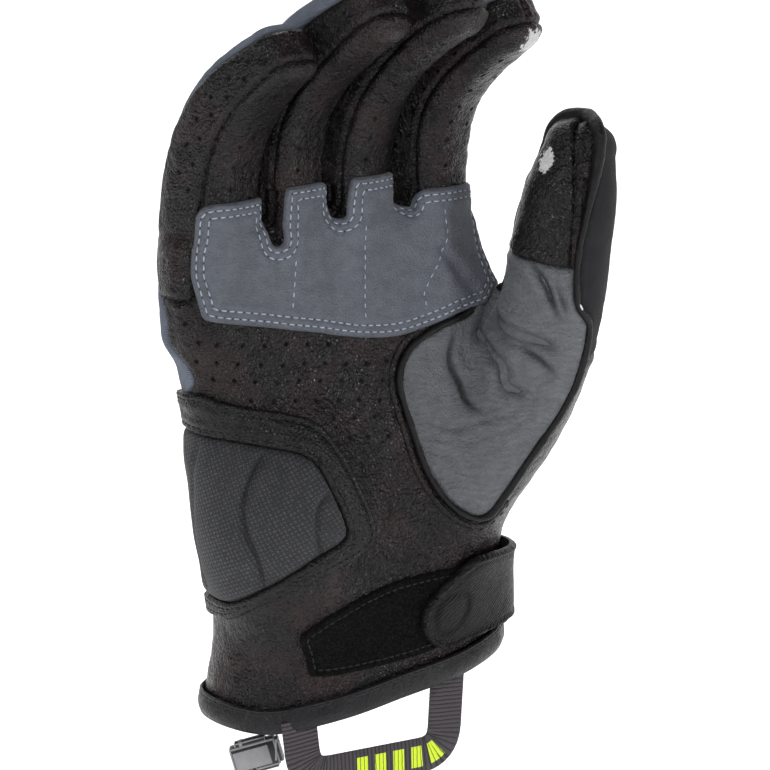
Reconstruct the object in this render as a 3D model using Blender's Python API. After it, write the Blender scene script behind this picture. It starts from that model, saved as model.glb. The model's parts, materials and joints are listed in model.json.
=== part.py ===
"""Right-hand leather motorcycle glove, standing with its fingers up and curled.

The outer form is one smooth surface worked out from the tables below: a barrel of
sections for the hand, a bent tube for each finger and the thumb, and a mound at
the heel. It is cut along its seams into leather panels, which are walls of
real thickness with the hollow of the hand inside. Lengths in the tables are mm.
Origin: centre of the wrist opening. +Z to the fingertips, -Y the palm, +X the thumb.
"""
import math

import bmesh
import bpy
import numpy as np
from mathutils import Vector

MM = 0.001
FORM_STEP = 1.35         # spacing of the grid that the form is read on
FORM_TRIANGLES = 2150    # of the outer surface before it is cut
SKIN = 1.3               # leather wall
SEAM_GAP = 0.40          # between neighbouring panels
ON_TOP = 0.42            # under a piece sewn on top
OVERLAY = 1.1            # sewn-on leather
PAD_CROWN = 1.6          # swell of the heel pad
STRAP = 1.8              # wrist strap
STRAP_STANDOFF = 2.2     # how far the strap stands off at the thumb side
CUFF_STATIONS = 88  # stations round the wrist opening
BINDING = 5.6            # height of the cuff binding over the leather's edge
BACK_CUFF_TOP = 36.0
THUMB_TIP_FROM = 112.0

# outlines in the flat pattern of the hand: A is the way round from the palm's middle
OVERLAY_EDGE = ((-60, 124.5), (-49.6, 123.5), (-34, 120.3), (-16, 117.0), (-3.7, 114.3), (12.7, 113.2), (23.4, 115.1), (34.6, 117.9), (44.6, 119.4), (60, 119.4))
OVERLAY_TABS = {"pinky": 155.8, "ring": 159.0, "middle": 160.2, "index": 155.0}
HEEL_FRAME = ((-90, 100), (-63.4, 100.5), (-55.4, 101.5), (-50, 99.4), (-39.3, 96.8), (-26.5, 94.5), (-19.4, 91.7), (-15.4, 87), (-11.6, 80), (-8.4, 70.7),
              (-5.7, 61.3), (-5.4, 55.2), (-10.6, 51.8), (-19.2, 48.5), (-29.6, 44.3), (-38, 39.7), (-44.7, 35.6), (-52, 31.5), (-90, 30))
HEEL_PAD = ((-90, 90), (-61.5, 89.1), (-51.8, 88.3), (-39.4, 86.4), (-26.3, 84.3), (-21.4, 82.2), (-18.5, 78.5), (-16.6, 72.5), (-14.4, 64.7), (-13.5, 60.1),
            (-14.4, 57.3), (-21.1, 54.1), (-28.9, 48.9), (-36.6, 44.4), (-43.6, 40.6), (-51.4, 37.5), (-90, 36.5))
LOOP_PATCH = ((-31.3, 28.2), (-29.2, 30.6), (-21.4, 35), (-12.1, 39), (1.5, 42.1), (12.9, 43.8), (24, 44.5), (24, 22.5), (9.9, 19.7), (-0.7, 18.4), (-23.1, 16.3), (-29.6, 16.6))
WRIST_STRAP = ((21.7, 48.6), (17.8, 44.6), (12.7, 39.8), (8, 35.3), (5.5, 31), (5.8, 24.8), (9.9, 20.6), (15.6, 19.9), (26.2, 21.4), (44.8, 22.5), (60, 23),
               (110, 23), (112, 25), (112, 42), (110, 44), (60, 43.5), (44, 46))
# front half plane outline of the grey thumb panel, x and z
THUMB_PANEL = ((41.0, 121.5), (39.6, 119.4), (32.3, 117.4), (21.2, 114.8), (10.5, 110), (6.6, 104.6), (5.4, 98.9), (7.1, 91.5), (9.9, 82.4), (12.2, 73.5), (15.9, 66),
               (19.7, 61.5), (25.1, 58.3), (29.6, 58.5), (32.4, 62.4), (40.6, 75.7), (50, 88.5), (54.6, 97.5), (56.0, 108.6), (56, 124))
# slots between the overlay's tabs: fingers, bottom z, half width
TAB_SLOTS = ((("pinky", "ring"), 142.0, 1.5), (("ring", "middle"), 148.0, 1.5), (("middle", "index"), 151.0, 2.2))
CUFF_EDGE = ((-48, 1.6), (-40, 0.5), (-26, 3.0), (-15, 5.2), (0, 8.4), (22, 11.4), (33, 13.2), (48, 15.4))

# pull loop: down, along and up again, in the plane of the palm
LOOP_ORIGIN = np.array([-6.0, -24.6, 0.0])
LOOP_TURN = -3.0
LOOP_FACE = np.array([-0.05, -1.0, 0.0])
LOOP_ROWS = ((-24.6, -0.4), (-22.6, -14.2), (23.0, -13.0), (24.4, 8.3))  # along, z
LOOP_CORNER, LOOP_WIDTH, LOOP_THICK = 8.0, 11.0, 1.5
CLIP_PLACE, CLIP_SIZE, CLIP_TURN, CLIP_TILT = (-39.6, -14.0, -7.6), (15.5, 4.4, 10.5), -30.0, (0.0, -16.0)

# ---- palm barrel: a row for each section (mm) --------------------------------
PALM_ROWS = (  # z, centre_x, half_width, front, back, exponent, arch
    (-14, 0.8, 47.4, 29.0, 28.0, 2.2, 0.0),
    (5, 0.8, 47.2, 29.0, 28.0, 2.2, 0.0),
    (25, 2.0, 45.9, 27.0, 27.0, 2.2, 0.5),
    (45, 0.4, 47.0, 25.0, 25.5, 2.25, 1.0),
    (64, -1.1, 49.0, 23.5, 24.0, 2.3, 2.0),
    (80, -2.2, 50.3, 21.5, 23.0, 2.35, 3.0),
    (92, -2.6, 50.8, 20.0, 22.0, 2.38, 3.5),
    (104, -4.2, 52.2, 18.0, 20.5, 2.4, 4.0),
    (126, -7.6, 52.8, 15.0, 17.5, 2.5, 4.0),
    (139, -10.6, 49.6, 13.0, 15.5, 2.6, 3.0),
    (150, -12.6, 46.5, 12.0, 14.0, 2.7, 2.0),
)
PALM_TOP, PALM_CAP = 141.0, 9.0
# ---- fingers: curl is the lean from upright at eight equal steps (degrees) ----
FINGERS = {
    # name: base (mm), plane, length, curls, half widths, half depths, tip cap
    "pinky": ((-46.8, -1.0, 141.8), 20, 73.5, (1, 6, 14, 24, 35, 48.5, 55.5, 60.0), (12.2, 11.6, 9.0), (12.6, 10.9, 8.3)),
    "ring": ((-25.2, -1.0, 144.3), 20, 90.0, (-2, 2.7, 11.2, 25.5, 44.7, 54.4, 60.0, 62.0), (11.6, 11.6, 9.8), (12.8, 12.2, 9.8)),
    "middle": ((-3.4, -1.0, 147.1), 20, 90.0, (0.2, 5.2, 17.4, 30.6, 43.9, 56, 63, 66), (11.4, 11.6, 10.0), (12.6, 12.2, 9.8)),
    "index": ((24.0, 0.0, 144.9), 20, 80.0, (-0.2, 4.6, 9, 24.2, 41.5, 51.7, 57.1, 60.6), (11.2, 11.2, 9.4), (12.6, 11.6, 9.4)),
}
CAP = 8.5
SLOTS = (("pinky", "ring"), ("ring", "middle"), ("middle", "index"))
SLOT_HALF = 1.0
# ---- thumb: centre line and half sizes (mm) -----------------------------------
THUMB_ROWS = (  # x, y, z, half_width, half_depth
    (14.0, -4.0, 36.0, 18.0, 18.0),
    (28.0, -12.0, 64.0, 18.0, 17.5),
    (38.0, -17.0, 78.1, 16.8, 16.5),
    (45.5, -20.0, 90.2, 16.4, 15.5),
    (50.2, -23.0, 102.6, 16.0, 15.0),
    (52.2, -27.0, 115.4, 15.2, 14.5),
    (53.6, -31.0, 137.8, 14.6, 14.2),
    (56.0, -33.5, 157.0, 12.8, 12.4),
    (57.9, -33.8, 166.0, 10.4, 10.6),
)
THUMB_CAP = 9.0
THUMB_FACE = -42.0  # azimuth that the thumb pad faces
HEEL = ((-26.0, -12.0, 59.0), (20.5, 15.5, 34.0))
K_WEB, K_FINGER, K_THUMB, K_HEEL = 2.0, 5.0, 10.0, 12.0

for old in list(bpy.data.objects):
    bpy.data.objects.remove(old, do_unlink=True)
ROOT = bpy.data.objects.new("glove_root", None)
bpy.context.scene.collection.objects.link(ROOT)


def smooth_curve(xs, ys, x):
    """Cubic Hermite through the rows."""
    xs = np.asarray(xs, float)
    ys = np.asarray(ys, float)
    d = np.diff(ys) / np.diff(xs)
    m = np.concatenate([[d[0]], (d[1:] * np.diff(xs)[:-1] + d[:-1] * np.diff(xs)[1:]) / (xs[2:] - xs[:-2]), [d[-1]]])
    x = np.clip(x, xs[0], xs[-1])
    i = np.clip(np.searchsorted(xs, x, side="right") - 1, 0, len(xs) - 2)
    h = xs[i + 1] - xs[i]
    t = (x - xs[i]) / h
    return ((2 * t**3 - 3 * t**2 + 1) * ys[i] + (t**3 - 2 * t**2 + t) * h * m[i]
            + (-2 * t**3 + 3 * t**2) * ys[i + 1] + (t**3 - t**2) * h * m[i + 1])


def smin(a, b, k):
    h = np.clip(0.5 + 0.5 * (b - a) / k, 0, 1)
    return b * (1 - h) + a * h - k * h * (1 - h)


def smax(a, b, k):
    return -smin(-a, -b, k)


def tube_path(points, sizes, across):
    """Samples about 1.5 mm apart along a centre line, with its frames."""
    points = np.asarray(points, float)
    seg = np.linalg.norm(np.diff(points, axis=0), axis=1)
    s = np.concatenate([[0], np.cumsum(seg)])
    n = int(s[-1] / 1.5) + 2
    t = np.linspace(0, s[-1], n)
    c = np.stack([smooth_curve(s, points[:, k], t) for k in range(3)], -1)
    tan = np.gradient(c, t, axis=0)
    tan /= np.linalg.norm(tan, axis=1)[:, None]
    b = across - (tan @ across)[:, None] * tan
    b /= np.linalg.norm(b, axis=1)[:, None]
    front = np.cross(b, tan)
    size = np.stack([smooth_curve(s, np.asarray(sizes, float)[:, k], t) for k in range(2)], -1)
    return dict(s=t, c=c, t=tan, b=b, n=front, size=size)


def finger_path(name):
    base, plane, length, curls, widths, depths = FINGERS[name]
    a = np.radians(plane)
    p = np.array([np.sin(a), -np.cos(a), 0.0])
    across = np.array([np.cos(a), np.sin(a), 0.0])
    steps = 40
    ds = (length - CAP) / steps
    mid = (np.arange(8) + 0.5) / 8 * length
    s = (np.arange(steps) + 0.5) * ds
    lean = np.radians(np.interp(s, mid, curls))
    d = np.cos(lean)[:, None] * np.array([0, 0, 1.0]) + np.sin(lean)[:, None] * p
    c = np.concatenate([[np.asarray(base, float)], np.asarray(base) + np.cumsum(d * ds, axis=0)])
    c = np.concatenate([np.asarray(base) + np.array([[0, 0, -24.0], [0, 0, -12.0]]), c])
    s = np.concatenate([[-24, -12], np.arange(steps + 1) * ds])
    size = np.stack([smooth_curve((-24, 0, length * 0.5, length), (widths[0], widths[0], widths[1], widths[2]), s),
                     smooth_curve((-24, 0, length * 0.5, length), (depths[0], depths[0], depths[1], depths[2]), s)], -1)
    path = tube_path(c, size, across)
    path["s"] = path["s"] - 24.0
    return path


def thumb_path():
    rows = np.asarray(THUMB_ROWS, float)
    a = np.radians(THUMB_FACE)
    return tube_path(rows[:, :3], rows[:, 3:], np.array([np.cos(a), np.sin(a), 0.0]))


def tube_coords(P, path):
    """Local coordinates: along, across, front, past the end, half sizes."""
    out = np.empty((len(P), 6))
    c, n = path["c"], len(path["c"])
    for lo in range(0, len(P), 60000):
        q = P[lo:lo + 60000]
        d2 = (q**2).sum(1)[:, None] - 2 * q @ c.T + (c**2).sum(1)[None]
        i = d2.argmin(1)
        ds = ((q - c[i]) * path["t"][i]).sum(1)
        s = path["s"][i] + ds
        sc = np.clip(s, path["s"][0], path["s"][-1])
        f = np.clip((sc - path["s"][0]) / (path["s"][1] - path["s"][0]), 0, n - 1.000001)
        j = f.astype(int)
        w = (f - j)[:, None]
        lerp = lambda k: path[k][j] * (1 - w) + path[k][np.minimum(j + 1, n - 1)] * w
        o = q - lerp("c")
        out[lo:lo + 60000, 0] = s
        out[lo:lo + 60000, 1] = (o * lerp("b")).sum(1)
        out[lo:lo + 60000, 2] = (o * lerp("n")).sum(1)
        out[lo:lo + 60000, 3] = np.where(s > path["s"][-1], s - path["s"][-1], 0) - np.where(s < path["s"][0], path["s"][0] - s, 0)
        out[lo:lo + 60000, 4:] = lerp("size")
    return out


def tube_field(q, cap, expo=3.0, round_end=2.6):
    a, d = q[:, 4], q[:, 5]
    r = ((np.abs(q[:, 1]) / a)**expo + (np.abs(q[:, 2]) / d)**expo)**(1 / expo)
    h = np.abs(q[:, 3])
    r = (r**round_end + (h / cap)**round_end)**(1 / round_end)
    rho = np.sqrt(q[:, 1]**2 + q[:, 2]**2 + h**2) + 1e-9
    return rho * (1 - 1 / np.maximum(r, 1e-6))


def palm_coords(P):
    rows = np.asarray(PALM_ROWS, float)
    z = np.minimum(P[:, 2], PALM_TOP)
    col = [smooth_curve(rows[:, 0], rows[:, k], z) for k in range(1, 7)]
    x = P[:, 0] - col[0]
    y = P[:, 1] + col[5] * (x / col[1])**2
    return x, y, col[1], np.where(y < 0, col[2], col[3]), col[4]


def palm_field(P):
    x, y, a, d, n = palm_coords(P)
    r = ((np.abs(x) / a)**n + (np.abs(y) / d)**n)**(1 / n)
    h = np.maximum(P[:, 2] - PALM_TOP, 0)
    r = (r**2.4 + (h / PALM_CAP)**2.4)**(1 / 2.4)
    rho = np.sqrt(x**2 + y**2 + h**2) + 1e-9
    return rho * (1 - 1 / np.maximum(r, 1e-6))


PATHS = {name: finger_path(name) for name in FINGERS}
PATHS["thumb"] = thumb_path()


def slot_plane(P, pair):
    """Signed distance from the plane between two neighbours, + towards the second."""
    a = PATHS[pair[0]]
    b = PATHS[pair[1]]
    across = a["b"][0]
    ia = np.argmin(np.abs(a["s"]))
    ib = np.argmin(np.abs(b["s"]))
    ca, cb = a["c"][ia] @ across, b["c"][ib] @ across
    wa, wb = a["size"][ia, 0], b["size"][ib, 0]
    mid = ca + (cb - ca) * wa / (wa + wb)
    return P @ across - mid


def fingers_field(P):
    total = None
    for name in FINGERS:
        f = tube_field(tube_coords(P, PATHS[name]), CAP)
        for pair in SLOTS:
            if name == pair[0]:
                f = smax(f, slot_plane(P, pair) + SLOT_HALF, 2.0)
            elif name == pair[1]:
                f = smax(f, -slot_plane(P, pair) + SLOT_HALF, 2.0)
        total = f if total is None else np.minimum(total, f)
    return total


def field(P):
    f = palm_field(P)
    c, r = np.asarray(HEEL[0]), np.asarray(HEEL[1])
    o = (P - c) / r
    k = np.sqrt((o**2).sum(1)) + 1e-9
    heel = np.sqrt(((P - c)**2).sum(1)) * (1 - 1 / k)
    f = smin(f, heel, K_HEEL)
    f = smin(f, fingers_field(P), K_FINGER)
    thumb = tube_field(tube_coords(P, PATHS["thumb"]), THUMB_CAP, 2.5, 2.4)
    return smin(f, thumb, K_THUMB)


def gradient(P, h=0.05, f=None):
    f0 = field(P) if f is None else f
    g = np.stack([field(P + np.eye(3)[k] * h) - f0 for k in range(3)], -1) / h
    return f0, g


def surface_net(lo, hi, step):
    n = [int(np.ceil((hi[k] - lo[k]) / step)) + 1 for k in range(3)]
    ax = [lo[k] + step * np.arange(n[k]) for k in range(3)]
    # coarse pass finds which blocks hold the surface
    F = np.empty(n)
    X, Y = np.meshgrid(ax[0], ax[1], indexing="ij")
    coarse = 4
    F[:] = 1e3
    cx = [a[::coarse] for a in ax]
    G = np.stack(np.meshgrid(*cx, indexing="ij"), -1).reshape(-1, 3)
    fc = field(G).reshape([len(a) for a in cx])
    near = np.abs(fc) < step * coarse * 2.2
    keep = np.zeros(n, bool)
    idx = np.argwhere(near)
    for i, j, k in idx:
        keep[max(i * coarse - coarse, 0):i * coarse + coarse + 1, max(j * coarse - coarse, 0):j * coarse + coarse + 1, max(k * coarse - coarse, 0):k * coarse + coarse + 1] = True
    sign = np.repeat(np.repeat(np.repeat(np.sign(fc), coarse, 0), coarse, 1), coarse, 2)[:n[0], :n[1], :n[2]]
    F = sign * 1e3
    I = np.argwhere(keep)
    P = np.stack([ax[k][I[:, k]] for k in range(3)], -1)
    F[keep] = field(P)
    inside = F < 0
    n0, n1, n2 = n
    # active cells
    c = np.zeros((n0 - 1, n1 - 1, n2 - 1), int)
    for a in (0, 1):
        for b in (0, 1):
            for d in (0, 1):
                c += inside[a:n0 - 1 + a, b:n1 - 1 + b, d:n2 - 1 + d]
    act = (c > 0) & (c < 8)
    ids = -np.ones(act.shape, int)
    cells = np.argwhere(act)
    ids[act] = np.arange(len(cells))
    acc = np.zeros((len(cells), 3))
    cnt = np.zeros(len(cells))
    corners = [(a, b, d) for a in (0, 1) for b in (0, 1) for d in (0, 1)]
    for p in corners:
        for axis in range(3):
            if p[axis]:
                continue
            q = list(p)
            q[axis] = 1
            fp = F[cells[:, 0] + p[0], cells[:, 1] + p[1], cells[:, 2] + p[2]]
            fq = F[cells[:, 0] + q[0], cells[:, 1] + q[1], cells[:, 2] + q[2]]
            x = (fp < 0) != (fq < 0)
            t = np.where(x, fp / np.where(x, fp - fq, 1), 0)
            for k in range(3):
                v = p[k] + (t if k == axis else 0)
                acc[:, k] += np.where(x, v, 0)
            cnt += x
    V = np.stack([ax[k][cells[:, k]] for k in range(3)], -1) + step * acc / cnt[:, None]
    quads = []
    for axis in range(3):
        sl0 = [slice(None)] * 3
        sl1 = [slice(None)] * 3
        sl0[axis] = slice(0, n[axis] - 1)
        sl1[axis] = slice(1, n[axis])
        x = inside[tuple(sl0)] != inside[tuple(sl1)]
        e = np.argwhere(x)
        o1, o2 = (axis + 1) % 3, (axis + 2) % 3
        ok = (e[:, o1] > 0) & (e[:, o2] > 0) & (e[:, o1] < n[o1] - 1) & (e[:, o2] < n[o2] - 1)
        e = e[ok]
        flip = inside[tuple(e.T)]
        def cell(d1, d2):
            m = e.copy()
            m[:, o1] -= d1
            m[:, o2] -= d2
            return ids[tuple(m.T)]
        q = np.stack([cell(1, 1), cell(0, 1), cell(0, 0), cell(1, 0)], -1)
        q[~flip] = q[~flip][:, ::-1]
        quads.append(q)
    return V, np.concatenate(quads)


def settle(V, Q, rounds=3):
    """Even the vertices out along the surface and pull them onto it."""
    e = np.concatenate([Q[:, [0, 1]], Q[:, [1, 2]], Q[:, [2, 3]], Q[:, [3, 0]]])
    for _ in range(rounds):
        f, g = gradient(V)
        V = V - g * (f / np.maximum((g**2).sum(1), 0.2))[:, None]
        s = np.zeros_like(V)
        k = np.zeros(len(V))
        np.add.at(s, e[:, 0], V[e[:, 1]])
        np.add.at(s, e[:, 1], V[e[:, 0]])
        np.add.at(k, e[:, 0], 1)
        np.add.at(k, e[:, 1], 1)
        d = s / k[:, None] - V
        nrm = g / np.linalg.norm(g, axis=1)[:, None]
        V = V + 0.5 * (d - (d * nrm).sum(1)[:, None] * nrm)
    f, g = gradient(V)
    V = V - g * (f / np.maximum((g**2).sum(1), 0.2))[:, None]
    return V


def arc_table(flat=0.46, expo=2.35, n=721):
    t = np.radians(np.linspace(-180, 180, n))
    s, c = np.sin(t), np.cos(t)
    r = (np.abs(s)**expo + np.abs(c)**expo)**(-1 / expo)
    x, y = r * s, -r * c * flat
    d = np.concatenate([[0], np.cumsum(np.hypot(np.diff(x), np.diff(y)))])
    return np.degrees(t), d - np.interp(0, np.degrees(t), d)


ARC = arc_table()


def pattern(P):
    """Flat pattern coordinates of the hand: A round from the palm's middle, + to the thumb, and z."""
    x, y, a, d, n = palm_coords(P)
    th = np.degrees(np.arctan2(x / a, -y / d))
    return np.interp(th, ARC[0], ARC[1]) * a, -y / d


# ---- cutting the form into its leather panels ------------------------------------
def blend(P, palm_value, finger_values, thumb_value=None, reach=2.5):
    """A value that passes smoothly from the palm to the fingers and thumb."""
    fields = [palm_field(P)]
    values = [palm_value]
    for name in FINGERS:
        q = tube_coords(P, PATHS[name])
        fields.append(tube_field(q, CAP))
        values.append(finger_values(name, q))
    if thumb_value is not None:
        q = tube_coords(P, PATHS["thumb"])
        fields.append(tube_field(q, THUMB_CAP, 2.5, 2.4))
        values.append(thumb_value(q))
    f = np.stack(fields)
    w = np.exp(-(f - f.min(0)) / reach)
    return (w * np.stack(values)).sum(0) / w.sum(0)


def facing(P):
    """+1 on the palm side, -1 on the back, 0 along the edge of the hand and fingers."""
    return blend(P, pattern(P)[1], lambda name, q: q[:, 2] / q[:, 5])


def front_seam(P):
    return blend(P, np.full(len(P), 0.55), lambda name, q: smooth_curve(
        (-24, 0, 30, 60, 80), (0.55, 0.58, 0.62 if name != "index" else 0.45, 0.6 if name != "index" else 0.42, 0.42), q[:, 0]))


def inside_outline(x, y, rows):
    """Signed distance to a closed outline, + inside."""
    p = np.asarray(rows, float)
    a, b = p, np.roll(p, -1, axis=0)
    best = np.full(len(x), 1e9)
    odd = np.zeros(len(x), bool)
    for (ax, ay), (bx, by) in zip(a, b):
        ex, ey = bx - ax, by - ay
        t = np.clip(((x - ax) * ex + (y - ay) * ey) / (ex * ex + ey * ey + 1e-12), 0, 1)
        best = np.minimum(best, np.hypot(x - ax - t * ex, y - ay - t * ey))
        hit = (ay > y) != (by > y)
        odd ^= hit & (x < (y - ay) / np.where(hit, by - ay, 1) * ex + ax)
    return np.where(odd, best, -best)


def thumb_front(P):
    """+ on the grey palm side of the thumb and its ball."""
    q = tube_coords(P, PATHS["thumb"])
    theta = np.degrees(np.arctan2(q[:, 1] / q[:, 4], q[:, 2] / q[:, 5]))
    edge = smooth_curve((80, 90, 103, 115, 132, 142, 153), (48, 43, 32, 27, 31, 36, 32), q[:, 0])
    on_thumb = np.minimum(np.minimum(theta + 112, edge - theta) * 0.25, 8 - tube_field(q, THUMB_CAP, 2.5, 2.4))
    on_palm = np.minimum(inside_outline(P[:, 0], P[:, 2], THUMB_PANEL), 20 * (pattern(P)[1] - 0.3))
    t = np.clip((P[:, 2] - 116) / 6, 0, 1)
    return on_palm * (1 - t) + on_thumb * t


def back_side(P):
    """+ behind the seam between the palm leather and the back of the hand."""
    a, q = pattern(P)
    ulnar = smooth_curve((-20, 90, 97, 103, 120, 126, 132, 200), (-0.35, -0.35, -0.15, 0.22, 0.3, 0.1, -0.35, -0.35), P[:, 2])
    radial = smooth_curve((-20, 56, 66, 100, 112, 122, 200), (-0.3, -0.3, 0.05, 0.05, 0.0, -0.3, -0.3), P[:, 2])
    t = np.clip((P[:, 0] + 10) / 20, 0, 1)
    thr = ulnar * (1 - t) + radial * t
    return blend(P, 14 * (thr - q), lambda name, q: 12 * ((smooth_curve((-20, 40, 60, 80), (-0.85, -0.8, -0.66, -0.6), q[:, 0]) if name == "pinky" else -0.45) - q[:, 2] / q[:, 5]))


def overlay_inside(P):
    a, q = pattern(P)
    bottom = smooth_curve(*np.asarray(OVERLAY_EDGE).T, a)
    top = blend(P, np.full(len(P), 159.0), lambda name, c: np.full(len(P), OVERLAY_TABS[name]), reach=1.0)
    low = np.minimum(P[:, 2] - bottom, top - P[:, 2])
    off_thumb = 2.0 * (tube_field(tube_coords(P, PATHS["thumb"]), THUMB_CAP, 2.5, 2.4) - 4.0)
    low = np.minimum(low, np.where(P[:, 0] > 25, off_thumb, 60))
    for pair, bottom, half in TAB_SLOTS:
        off = np.abs(slot_plane(P, pair))
        low = np.minimum(low, np.hypot(off, np.maximum(bottom + half - P[:, 2], 0)) - half)
    return np.minimum(np.minimum(low, 12 * (facing(P) - 0.58)), np.where(P[:, 2] < 150, a + 47.5, 60))


class Skin:
    """The outer surface as triangles, with a panel name on each."""

    def __init__(self, points, faces):
        self.p = points
        self.f = faces
        self.lab = np.zeros(len(faces), int)
        self.names = ["palm_leather"]

    def copy(self):
        s = Skin(self.p.copy(), self.f.copy())
        s.lab = self.lab.copy()
        s.names = list(self.names)
        return s

    def seam_points(self):
        e = np.concatenate([self.f[:, [0, 1]], self.f[:, [1, 2]], self.f[:, [2, 0]]])
        lab = np.tile(self.lab, 3)
        key = np.sort(e, axis=1)
        order = np.lexsort((key[:, 1], key[:, 0]))
        k, l = key[order], lab[order]
        same = (k[1:] == k[:-1]).all(1)
        seam = np.zeros(len(self.p), bool)
        pair = np.where(same & (l[1:] != l[:-1]))[0]
        seam[k[pair].reshape(-1)] = True
        alone = np.ones(len(k), bool)
        alone[1:][same] = False
        alone[:-1][same] = False
        seam[k[alone].reshape(-1)] = True
        return seam

    def split(self, e, t):
        """New points on these edges, in every face that has them."""
        made = self.p[e[:, 0]] * (1 - t[:, None]) + self.p[e[:, 1]] * t[:, None]
        where = {(int(a), int(b)): len(self.p) + i for i, (a, b) in enumerate(e)}
        self.p = np.concatenate([self.p, made])
        faces, labs = [], []
        for tri, lab in zip(self.f.tolist(), self.lab.tolist()):
            mids = [where.get((min(tri[i], tri[(i + 1) % 3]), max(tri[i], tri[(i + 1) % 3]))) for i in range(3)]
            n = sum(m is not None for m in mids)
            if n == 0:
                new = [tri]
            elif n == 1:
                i = next(i for i in range(3) if mids[i] is not None)
                a, b, c = tri[i], tri[(i + 1) % 3], tri[(i + 2) % 3]
                new = [[a, mids[i], c], [mids[i], b, c]]
            elif n == 2:
                i = next(i for i in range(3) if mids[i] is None)
                a, b, c = tri[i], tri[(i + 1) % 3], tri[(i + 2) % 3]
                m1, m2 = mids[(i + 1) % 3], mids[(i + 2) % 3]
                new = [[m1, c, m2], [a, b, m1], [a, m1, m2]]
            else:
                a, b, c = tri
                m1, m2, m3 = mids
                new = [[a, m1, m3], [m1, b, m2], [m3, m2, c], [m1, m2, m3]]
            faces += new
            labs += [lab] * len(new)
        self.f, self.lab = np.asarray(faces), np.asarray(labs)

    def edges_of(self, sources):
        f = self.f[np.isin(self.lab, [self.names.index(s) for s in sources])]
        return np.unique(np.sort(np.concatenate([f[:, [0, 1]], f[:, [1, 2]], f[:, [2, 0]]]), axis=1), axis=0)

    def cut(self, phi, sources, name, snap=0.2, move=True):
        """Faces of the source panels where phi is positive become the named panel."""
        if name not in self.names:
            self.names.append(name)
        new = self.names.index(name)
        # an outline that crosses one edge twice gets a point between the crossings
        if callable(phi):
            for _ in range(3):
                e = self.edges_of(sources)
                v = phi(self.p)
                e = e[(v[e[:, 0]] * v[e[:, 1]] > 0) & (np.linalg.norm(self.p[e[:, 0]] - self.p[e[:, 1]], axis=1) > 3)]
                best, at = np.zeros(len(e)), np.full(len(e), 0.5)
                for t in (0.25, 0.5, 0.75):
                    m = phi(self.p[e[:, 0]] * (1 - t) + self.p[e[:, 1]] * t) * -np.sign(v[e[:, 0]])
                    at = np.where(m > best, t, at)
                    best = np.maximum(best, m)
                if not (best > 0.5).any():
                    break
                self.split(e[best > 0.5], at[best > 0.5])
            phi = phi(self.p)
        phi = phi.copy()
        fixed = self.seam_points()
        e = self.edges_of(sources)
        e = e[phi[e[:, 0]] * phi[e[:, 1]] < 0]
        t = phi[e[:, 0]] / (phi[e[:, 0]] - phi[e[:, 1]])
        for end in (0, 1):
            d = t if end == 0 else 1 - t
            near = d < snap
            v, w, dd = e[near, end], e[near, 1 - end], d[near]
            order = np.argsort(-dd)
            v, w, dd = v[order], w[order], dd[order]
            if move:
                free = ~fixed[v]
                self.p[v[free]] += (self.p[w[free]] - self.p[v[free]]) * dd[free][:, None]
            phi[v] = 0
        e = e[phi[e[:, 0]] * phi[e[:, 1]] < 0]
        if len(e):
            count = len(self.p)
            self.split(e, phi[e[:, 0]] / (phi[e[:, 0]] - phi[e[:, 1]]))
            phi = np.concatenate([phi, np.zeros(len(self.p) - count)])
        src = np.isin(self.lab, [self.names.index(s) for s in sources])
        side = phi[self.f]
        strong = side[np.arange(len(side)), np.abs(side).argmax(1)]
        self.lab[src & (strong > 0)] = new

    def tidy(self, smallest=14):
        """Scraps cut off from their panel join the neighbour they share most edges with."""
        for _ in range(3):
            e = np.concatenate([self.f[:, [0, 1]], self.f[:, [1, 2]], self.f[:, [2, 0]]])
            face = np.tile(np.arange(len(self.f)), 3)
            key = np.sort(e, axis=1)
            order = np.lexsort((key[:, 1], key[:, 0]))
            k, fc = key[order], face[order]
            i = np.where((k[1:] == k[:-1]).all(1))[0]
            a, b = fc[i], fc[i + 1]
            same = self.lab[a] == self.lab[b]
            root = np.arange(len(self.f))
            while True:
                old = root.copy()
                np.minimum.at(root, a[same], root[b[same]])
                np.minimum.at(root, b[same], root[a[same]])
                root = root[root]
                if (root == old).all():
                    break
            changed = False
            for lab in range(len(self.names)):
                mine = np.where(self.lab == lab)[0]
                if not len(mine):
                    continue
                ids, n = np.unique(root[mine], return_counts=True)
                for g in ids[n < n.max()]:
                    part = root == g
                    near = np.concatenate([self.lab[b[part[a] & ~part[b]]], self.lab[a[part[b] & ~part[a]]]])
                    if len(near):
                        self.lab[part] = np.bincount(near).argmax()
                        changed = True
            if not changed:
                return

    def normals(self):
        n = np.cross(self.p[self.f[:, 1]] - self.p[self.f[:, 0]], self.p[self.f[:, 2]] - self.p[self.f[:, 0]])
        v = np.zeros_like(self.p)
        for k in range(3):
            np.add.at(v, self.f[:, k], n)
        v /= np.maximum(np.linalg.norm(v, axis=1), 1e-12)[:, None]
        e = np.unique(np.sort(np.concatenate([self.f[:, [0, 1]], self.f[:, [1, 2]], self.f[:, [2, 0]]]), axis=1), axis=0)
        for _ in range(2):
            s = v.copy()
            np.add.at(s, e[:, 0], v[e[:, 1]] * 0.35)
            np.add.at(s, e[:, 1], v[e[:, 0]] * 0.35)
            v = s / np.maximum(np.linalg.norm(s, axis=1), 1e-12)[:, None]
        return v

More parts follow.
